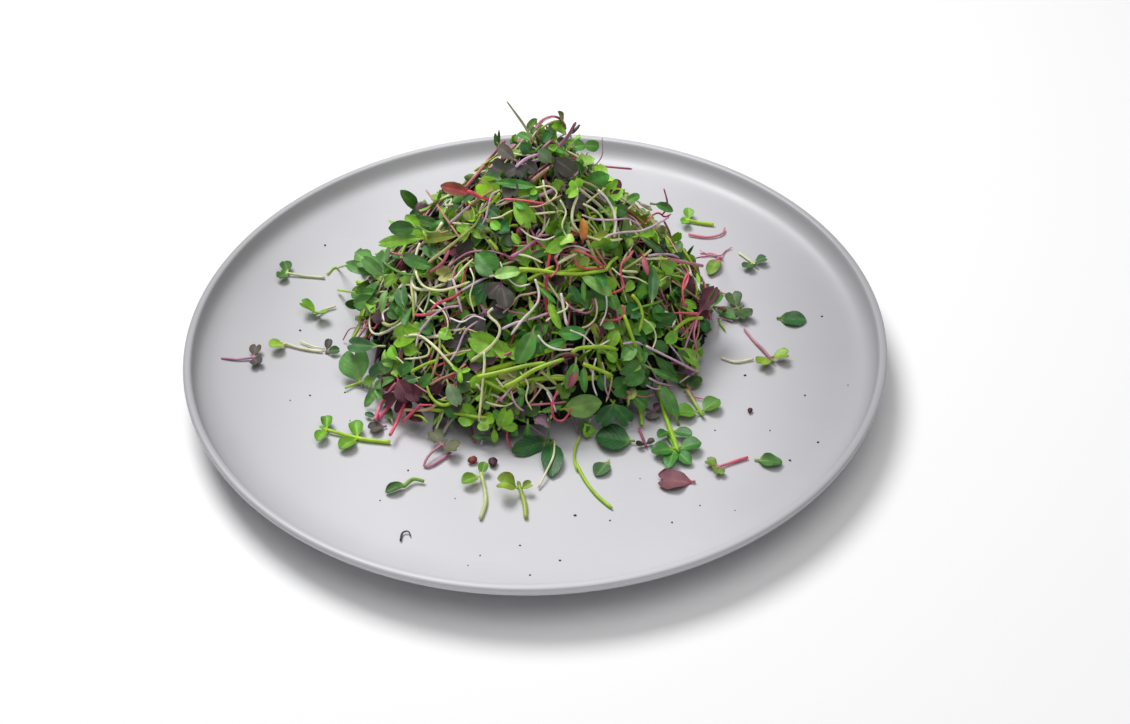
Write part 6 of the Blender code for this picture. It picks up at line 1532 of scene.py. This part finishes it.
def add_sprout(batch, pts, kind, size=1.0, spread=None, lay=1.0, r=None, grid=None, tone=None):
    """A whole sprout along pts: stem, two seed leaves or pea leaflets."""
    r = r or rng
    grid = grid or COARSE
    lk = dict(LOOKS[kind])
    k = tone if tone is not None else r.choice((0.55, 0.8, 1.0, 1.2, 1.45, 1.8)) * r.uniform(0.9, 1.1)
    for key in ("top", "under", "vein", "edge"):
        if key in lk:
            lk[key] = tuple(np.array(lk[key]) * k)
    ra, rb = lk["r"]
    r0 = rb * r.uniform(0.66, 0.98)
    r1 = ra * r.uniform(0.66, 0.95)
    p, total = stem(batch, pts, r0, r1, lk, n=14, sides=6)
    end = Vector(p[-1])
    d = Vector(p[-1] - p[-3]).normalized()
    nrm = slope_normal(end.x, end.y) if level(end.x, end.y) > FLOOR_Z + 0.5 else Vector((0, 0, 1))
    rand = Vector((r.gauss(0, 1), r.gauss(0, 1), r.gauss(0, 1))).normalized()
    up = nrm + rand * lay
    up = up - d * up.dot(d)
    if up.length < 0.2:
        up = nrm.orthogonal()
    up.normalize()
    right = d.cross(up).normalized()

    def blade(at_, side, L, W, ang, rise0, rise1, shape, cup):
        t = math.radians(ang)
        axis = (right * side) * math.cos(t) + d * math.sin(t)
        foot = at_ + (axis + up * rise0 * 0.5).normalized() * (L * 0.14)
        petiole(batch, at_, foot, r1 * 0.7, 0.34, lk)
        first = len(batch.v)
        leaf_mesh(batch, foot - axis * 0.3, axis, up, L, W, shape, lk, rise0, rise1, cup, r.uniform(0.0, 0.06),
                  r.uniform(-0.5, 0.5), r, flip=r.random() < 0.2, grid=grid)
        lift_clear(batch, first, FLOOR_Z + 0.15)

    if kind in ("radish", "radish_pink", "burgundy", "purple", "kale", "dark_red"):
        base = {"radish": 7.6, "radish_pink": 7.0, "burgundy": 6.8, "purple": 6.4, "kale": 5.6, "dark_red": 6.4}[kind]
        L = base * size * r.uniform(0.75, 1.25)
        W = L * r.uniform(0.95, 1.2)
        sp = r.uniform(5, 78) if spread is None else spread
        up0 = r.uniform(0.0, 1.0)
        cup = r.uniform(0.1, 0.7) if r.random() < 0.6 else r.uniform(0.7, 1.5)
        shape = "heart" if kind in ("radish", "radish_pink", "burgundy") else "coty"
        blade(end, 1, L, W, sp, up0, up0 * r.uniform(-0.8, 0.4), shape, cup)
        blade(end, -1, L * r.uniform(0.7, 0.95), W * 0.88, sp + r.uniform(-14, 14), up0, up0 * r.uniform(-0.8, 0.4),
              shape, cup)
    elif kind in ("pea", "pea_bright", "dark", "leaf_light"):
        for frac, sc in ((1.0, 1.0), (0.68, 0.8)):
            i = min(len(p) - 1, int(frac * (len(p) - 1)))
            c = Vector(p[i])
            for side in (1, -1):
                if frac < 1 and r.random() < 0.35:
                    continue
                L = 9.5 * size * sc * r.uniform(0.7, 1.2)
                W = L * r.uniform(0.5, 0.72)
                blade(c, side, L, W, r.uniform(10, 65), r.uniform(0, 0.7), r.uniform(-0.5, 0.2), "oval",
                      r.uniform(0.1, 1.2))
    elif kind == "beet":
        for side in (1, -1):
            L = 11 * size * r.uniform(0.7, 1.15)
            blade(end, side, L, L * 0.30, r.uniform(45, 75), 0.2, r.uniform(-0.3, 0.2), "long", 0.6)
    elif kind == "cress":
        for side in (1, -1):
            L = 8 * size * r.uniform(0.7, 1.25)
            blade(end, side, L, L * 0.8, r.uniform(15, 70), r.uniform(0, 0.6), r.uniform(-0.6, 0.1), "lobed",
                  r.uniform(0.1, 0.9))
    # a small bud between the leaves
    if kind not in ("cream", "cream_white", "brown", "beet", "lilac", "red", "lime"):
        leaf_mesh(batch, end, d, up, 2.6 * size, 1.5 * size, "long", lk, 0.4, 0.1, 0.7, r=r, grid=COARSE)


MIX = [("radish", 0.24), ("radish_pink", 0.13), ("purple", 0.11), ("pea", 0.10), ("pea_bright", 0.06),
       ("kale", 0.14), ("dark", 0.09), ("burgundy", 0.03), ("beet", 0.02), ("cress", 0.08)]
BARE = [("cream", 0.36), ("radish_pink", 0.12), ("lilac", 0.18), ("red", 0.06), ("lime", 0.20), ("brown", 0.08)]
SLOT_OF = {"radish": "leaf_green", "radish_pink": "leaf_green", "purple": "leaf_grey_purple", "pea": "leaf_dark",
           "pea_bright": "stem_lime", "kale": "leaf_dark", "dark": "leaf_dark", "burgundy": "leaf_purple",
           "beet": "stem_pink", "cream": "stem_cream", "cress": "leaf_green", "cream_white": "stem_cream",
           "brown": "stem_pink", "lilac": "stem_pink", "red": "stem_pink", "lime": "stem_lime"}
COUNT, BARE_COUNT = 740, 420


def choose(table):
    pick = rng.random() * sum(w for _, w in table)
    for kind, w in table:
        pick -= w
        if pick <= 0:
            return kind
    return table[-1][0]


def spot(reach=1.0):
    """A place on the heap, evenly over its slope."""
    q = math.sqrt(rng.random()) * reach
    ang = rng.uniform(0, 2 * math.pi)
    rise = heap_rise(q)
    r = heap_edge(ang) * q
    return HEAP_X + HEAP_LEAN * rise / HEAP_H + r * math.cos(ang), HEAP_Y + r * math.sin(ang), q


def facing(x, y):
    """Whether a place on the heap is on the side that the near sprouts cover."""
    return (y - HEAP_Y) < 0.35 * abs(x - HEAP_X)


def fill_heap():
    groups = {}
    kept, bare = 0, 0
    for i in range(COUNT):
        groups.setdefault(choose(MIX), []).append(i)
    made = []
    for kind, items in groups.items():
        parts = max(1, math.ceil(len(items) / 34))
        for g in range(parts):
            batch = Batch("heap_%s_%d" % (kind, g + 1), SLOT_OF[kind])
            for _ in items[g::parts]:
                for attempt in range(6):
                    x, y, q = spot()
                    length = rng.uniform(12, 34) * (1.2 if kind.startswith("pea") else 1.0)
                    heading = rng.uniform(0, 2 * math.pi)
                    layer = rng.random()
                    if facing(x, y):
                        layer = 0.15 + 0.85 * layer
                    if layer < 0.12:
                        d1, d0 = rng.uniform(-4.0, -1.5), rng.uniform(1.0, 6)
                    elif layer < 0.45:
                        d1, d0 = rng.uniform(-1.0, 1.5), rng.uniform(-0.5, 6)
                        if facing(x, y):
                            d1, d0 = d1 + 1.0, d0 + 1.0
                    elif layer < 0.75:
                        d1, d0 = rng.uniform(1.5, 5), rng.uniform(1, 8)
                    else:
                        d1, d0 = rng.uniform(5, 10), rng.uniform(4, 11)
                    # the path starts behind, so that the leaves end near (x, y)
                    x0 = x - 0.42 * length * math.cos(heading)
                    y0 = y - 0.42 * length * math.sin(heading)
                    pts = heap_path(x0, y0, heading, length, d0, d1, rng.uniform(-1.8, 1.8))
                    if len(pts) < 5:
                        continue
                    mark = batch.mark()
                    add_sprout(batch, pts, kind)
                    if fits(np.concatenate(batch.v[mark[0]:])):
                        kept += 1
                        break
                    batch.undo(mark)
            # painted shade on the deeper sprouts, painted light on the outermost ones
            batch.shade()
            made.append(batch.build())
    groups = {}
    for i in range(BARE_COUNT):
        groups.setdefault(choose(BARE), []).append(i)
    for kind, items in groups.items():
        batch = Batch("heap_stems_%s" % kind, SLOT_OF[kind])
        for _ in items:
            for attempt in range(6):
                x, y, q = spot(1.0)
                length = rng.uniform(14, 46)
                heading = rng.uniform(0, 2 * math.pi)
                d0, d1 = rng.uniform(-2.0, 4.0), rng.uniform(-2.0, 3.0)
                x0 = x - 0.35 * length * math.cos(heading)
                y0 = y - 0.35 * length * math.sin(heading)
                pts = heap_path(x0, y0, heading, length, d0, d1, rng.uniform(-3.0, 3.0), 10, 0.30)
                if len(pts) < 5:
                    continue
                mark = batch.mark()
                ra, rb = LOOKS[kind]["r"]
                stem(batch, spline(pts, 4), rb * rng.uniform(0.5, 0.95), ra * rng.uniform(0.5, 0.9), LOOKS[kind], n=20,
                     sides=6)
                if fits(np.concatenate(batch.v[mark[0]:])):
                    bare += 1
                    break
                batch.undo(mark)
        # painted shade on the deeper bare stems, a little painted light on the outermost ones
        batch.shade(0.22, gain=1.05)
        made.append(batch.build())
    print("sprouts in the heap:", kept, "bare stems:", bare, "near stems:", len(STEMS), "near leaves:", len(BLADES))
    return made


# ---------------------------------------------------------------------------
# dark inside of the heap, a mound in painted shade
# ---------------------------------------------------------------------------
def core():
    rings, segs = 26, 72
    verts, cols = [], []
    r2 = random.Random(5)
    for i in range(rings):
        q = 1.0 - i / (rings - 0.6)
        for k in range(segs):
            a = 2 * math.pi * k / segs
            rise = heap_rise(q)
            r = heap_edge(a) * q
            x = HEAP_X + HEAP_LEAN * rise / HEAP_H + r * math.cos(a)
            y = HEAP_Y + r * math.sin(a)
            n = slope_normal(x, y) if q < 0.97 else Vector((math.cos(a), math.sin(a), 0.3)).normalized()
            depth = 8.5 + 4.0 * min(1.0, max(0.0, (q - 0.7) / 0.25)) + 2.2 * math.sin(x / 2.7 + y / 4.1) * math.sin(y / 2.9) + r2.uniform(-1.2, 1.2)
            p = Vector((x, y, FLOOR_Z + rise)) - n * depth
            p.z = max(p.z, FLOOR_Z + 0.2)
            verts.append(tuple(p))
            # painted shade: near-black green stands for the deep sprouts that lie in shade
            g = 0.55 + 0.45 * r2.random()
            cols.append((0.016 * g, 0.034 * g, 0.010 * g))
    idx = np.arange(rings * segs).reshape(rings, segs)
    nx = np.roll(idx, -1, 1)
    f = np.stack([idx[:-1], nx[:-1], nx[1:], idx[1:]], -1).reshape(-1, 4)
    k = np.arange(segs) / segs
    s = np.linspace(0, 1, rings)
    A = np.stack(np.broadcast_arrays(k[None, :], s[:-1, None]), -1)
    B = np.stack(np.broadcast_arrays(k[None, :] + 1 / segs, s[:-1, None]), -1)
    C = np.stack(np.broadcast_arrays(k[None, :] + 1 / segs, s[1:, None]), -1)
    D = np.stack(np.broadcast_arrays(k[None, :], s[1:, None]), -1)
    uv = np.stack([A, B, C, D], -2).reshape(-1, 4, 2)
    batch = Batch("heap_core", "heap_green", ["sprout_heap"])
    batch.add(np.array(verts), f, np.array(cols), np.zeros(len(f), int), uv, uv, M_DULL)
    return batch.build()


# ---------------------------------------------------------------------------
# plate
# ---------------------------------------------------------------------------
PLATE_PROFILE = [
    (0.0, 10.0), (40.0, 10.0), (80.0, 10.0), (104.0, 10.0), (114.0, 10.0), (118.0, 10.06), (121.5, 10.26), (124.5, 10.66),
    (126.9, 11.3), (128.8, 12.25), (130.1, 13.5), (131.0, 15.1), (131.5, 16.8), (131.8, 18.2), (132.1, 18.78),
    (132.6, 19.0), (133.9, 19.0), (134.5, 18.85), (134.88, 18.5), (135.0, 17.9), (134.95, 17.0), (134.6, 16.0),
    (133.8, 14.8), (132.2, 13.0), (129.4, 10.6), (125.0, 8.2), (118.0, 6.4), (108.0, 5.4), (88.0, 5.4), (85.6, 5.2),
    (84.6, 4.3), (84.1, 0.9), (83.9, 0.35), (83.4, 0.05), (82.6, 0.0), (79.4, 0.0), (78.6, 0.05), (78.1, 0.35),
    (77.9, 0.9), (77.4, 4.3), (76.4, 5.2), (74.0, 5.4), (40.0, 5.4), (0.0, 5.4)]


def plate(mat):
    segs = 240
    inner = [(r, z) for r, z in PLATE_PROFILE if r > 0]
    verts = [(0, 0, PLATE_PROFILE[0][1])]
    for r, z in inner:
        for k in range(segs):
            a = 2 * math.pi * k / segs
            verts.append((r * math.cos(a), r * math.sin(a), z))
    verts.append((0, 0, PLATE_PROFILE[-1][1]))
    faces = []
    last = len(verts) - 1
    for k in range(segs):
        j = (k + 1) % segs
        faces.append((0, 1 + k, 1 + j))
        for i in range(len(inner) - 1):
            a, b = 1 + i * segs, 1 + (i + 1) * segs
            faces.append((a + k, b + k, b + j, a + j))
        a = 1 + (len(inner) - 1) * segs
        faces.append((a + k, last, a + j))
    mesh = bpy.data.meshes.new("plate_body")
    mesh.from_pydata([Vector(v) * MM for v in verts], [], faces)
    # one sheet for each side, seen from above
    uv = mesh.uv_layers.new(name="OFBake")
    for poly in mesh.polygons:
        c = poly.center
        top = poly.normal.z > 0
        for li in poly.loop_indices:
            v = mesh.vertices[mesh.loops[li].vertex_index].co
            rad = math.hypot(v.x, v.y)
            ring = 0.0
            if rad > 0.118:
                ring = (v.z - 0.010) / 0.009 * 0.006 if top else (0.019 - v.z) / 0.019 * 0.01
            k = (rad + (ring if top else 0.0)) / max(rad, 1e-9)
            uv.uv[li].vector = (0.25 + v.x * k / 0.60 + (0.0 if top else 0.5), 0.5 + v.y * k / 0.30)
    mesh.polygons.foreach_set("use_smooth", np.ones(len(mesh.polygons), bool))
    mesh.materials.append(mat)
    obj = bpy.data.objects.new("plate_body", mesh)
    bpy.context.scene.collection.objects.link(obj)
    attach(obj, "root")
    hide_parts("plate")
    return obj


def plate_material():
    mat = bpy.data.materials.new("plate_satin")
    mat.use_nodes = True
    nt = mat.node_tree
    p = nt.nodes["Principled BSDF"]
    link = nt.links.new
    co = node(nt, "ShaderNodeTexCoord")
    cloud = node(nt, "ShaderNodeTexNoise")
    cloud.inputs["Scale"].default_value = 22.0
    cloud.inputs["Detail"].default_value = 5.0
    link(co.outputs["Object"], cloud.inputs["Vector"])
    speck = node(nt, "ShaderNodeTexNoise")
    speck.inputs["Scale"].default_value = 900.0
    speck.inputs["Detail"].default_value = 3.0
    link(co.outputs["Object"], speck.inputs["Vector"])
    tone = node(nt, "ShaderNodeMix", data_type="RGBA", blend_type="MIX")
    tone.inputs["A"].default_value = (0.555, 0.548, 0.578, 1)
    tone.inputs["B"].default_value = (0.600, 0.594, 0.622, 1)
    link(cloud.outputs["Fac"], tone.inputs["Factor"])
    # painted shade: the base colour goes from a little lighter in the middle, front and back to darker toward the left
    # and right rim, where the wall and cove shade the floor
    sep = node(nt, "ShaderNodeSeparateXYZ")
    link(co.outputs["Object"], sep.inputs["Vector"])
    flat = node(nt, "ShaderNodeCombineXYZ")
    link(sep.outputs["X"], flat.inputs["X"])
    less = node(nt, "ShaderNodeMath", operation="MULTIPLY")
    link(sep.outputs["Y"], less.inputs[0])
    less.inputs[1].default_value = 0.45
    link(less.outputs[0], flat.inputs["Y"])
    far = node(nt, "ShaderNodeVectorMath", operation="LENGTH")
    link(flat.outputs["Vector"], far.inputs[0])
    rim_shade_ramp = node(nt, "ShaderNodeMapRange", interpolation_type="SMOOTHSTEP")
    rim_shade_ramp.inputs["From Min"].default_value = 0.060
    rim_shade_ramp.inputs["From Max"].default_value = 0.136
    rim_shade_ramp.inputs["To Min"].default_value = 1.04
    rim_shade_ramp.inputs["To Max"].default_value = 0.68
    link(far.outputs["Value"], rim_shade_ramp.inputs["Value"])
    painted_shade = node(nt, "ShaderNodeMix", data_type="RGBA", blend_type="MULTIPLY")
    painted_shade.inputs["Factor"].default_value = 1.0
    link(tone.outputs["Result"], painted_shade.inputs["A"])
    link(rim_shade_ramp.outputs["Result"], painted_shade.inputs["B"])
    link(painted_shade.outputs["Result"], p.inputs["Base Color"])
    rr = node(nt, "ShaderNodeMapRange")
    rr.inputs["From Min"].default_value = 0.35
    rr.inputs["From Max"].default_value = 0.65
    rr.inputs["To Min"].default_value = 0.34
    rr.inputs["To Max"].default_value = 0.44
    link(cloud.outputs["Fac"], rr.inputs["Value"])
    link(rr.outputs["Result"], p.inputs["Roughness"])
    b = node(nt, "ShaderNodeBump")
    b.inputs["Strength"].default_value = 0.05
    b.inputs["Distance"].default_value = 0.0002
    link(speck.outputs["Fac"], b.inputs["Height"])
    link(b.outputs["Normal"], p.inputs["Normal"])
    p.inputs["Specular IOR Level"].default_value = 0.45
    return mat


def specks():
    """Fine dark crumbs on the plate."""
    r3 = random.Random(11)
    batch = Batch("plate_crumbs", "hull_brown")
    spots = [(310, 395), (345, 392), (672, 522), (640, 478), (818, 442), (745, 375), (805, 395), (848, 385),
             (335, 430), (520, 545), (560, 560), (610, 520), (575, 515), (700, 505), (735, 510), (790, 460),
             (300, 330), (325, 245), (735, 300), (822, 316), (800, 318), (350, 420), (455, 498), (408, 470),
             (530, 590 - 15), (468, 565), (480, 555), (770, 430), (715, 430), (662, 430), (290, 400), (380, 500)]
    for px, py in spots:
        p = on(px, py)
        a = r3.uniform(0, 6.28)
        s = r3.uniform(0.18, 0.42)
        hull_mesh(batch, (p.x, p.y, FLOOR_Z + s * 0.5), (math.cos(a), math.sin(a), 0),
                  (-math.sin(a), math.cos(a), 0), (0, 0, 1), s * 1.4, s, s * 0.6,
                  look("hull", top=srgb(58, 52, 46)), r3, 0.0)
    return batch.build()


# ---------------------------------------------------------------------------
# make it
# ---------------------------------------------------------------------------
cad_sprouts()
hero_stems()
hero_blades()
shown_leaves()
fill_heap()
core()
specks()
plate(plate_material())

# ---------------------------------------------------------------------------
# stage, light, camera
# ---------------------------------------------------------------------------
bpy.ops.mesh.primitive_plane_add(size=6.0, location=(0, 0, -0.0002))
ground = bpy.context.active_object
ground.name = "ground"
gm = bpy.data.materials.new("ground_white")
gm.use_nodes = True
gp = gm.node_tree.nodes["Principled BSDF"]
gp.inputs["Base Color"].default_value = (0.93, 0.93, 0.935, 1)
gp.inputs["Roughness"].default_value = 0.9
ground.data.materials.append(gm)

world = bpy.data.worlds.new("soft")
bpy.context.scene.world = world
world.use_nodes = True
world.node_tree.nodes["Background"].inputs["Color"].default_value = (1.0, 1.0, 1.0, 1)
world.node_tree.nodes["Background"].inputs["Strength"].default_value = 0.18


def area(name, loc, target, size, power, colour=(1, 1, 1)):
    lamp = bpy.data.lights.new(name, "AREA")
    lamp.shape = "DISK"
    lamp.size = size
    lamp.energy = power
    lamp.color = colour
    obj = bpy.data.objects.new(name, lamp)
    bpy.context.scene.collection.objects.link(obj)
    obj.location = loc
    obj.rotation_euler = (Vector(target) - Vector(loc)).to_track_quat("-Z", "Y").to_euler()
    return obj


area("key", (-0.36, 0.50, 1.18), (0, 0, 0), 0.65, 14.3)
area("top", (0.12, -0.30, 1.40), (0, 0, 0), 1.2, 6.8)

cam = bpy.data.cameras.new("camera")
cam.sensor_fit = "HORIZONTAL"
cam.sensor_width = 36.0
cam.lens = FOCAL_PX / IMG_W * 36.0
cam.clip_start = 0.01
cam_obj = bpy.data.objects.new("camera", cam)
bpy.context.scene.collection.objects.link(cam_obj)
rot = Matrix((RIGHT, UP, -fwd)).transposed()
cam_obj.matrix_world = Matrix.Translation(CAM * MM) @ rot.to_4x4()
bpy.context.scene.camera = cam_obj
bpy.context.scene.view_settings.view_transform = "Standard"

total = sum(len(o.data.polygons) for o in bpy.data.objects if o.type == "MESH")
print("faces in all:", total)
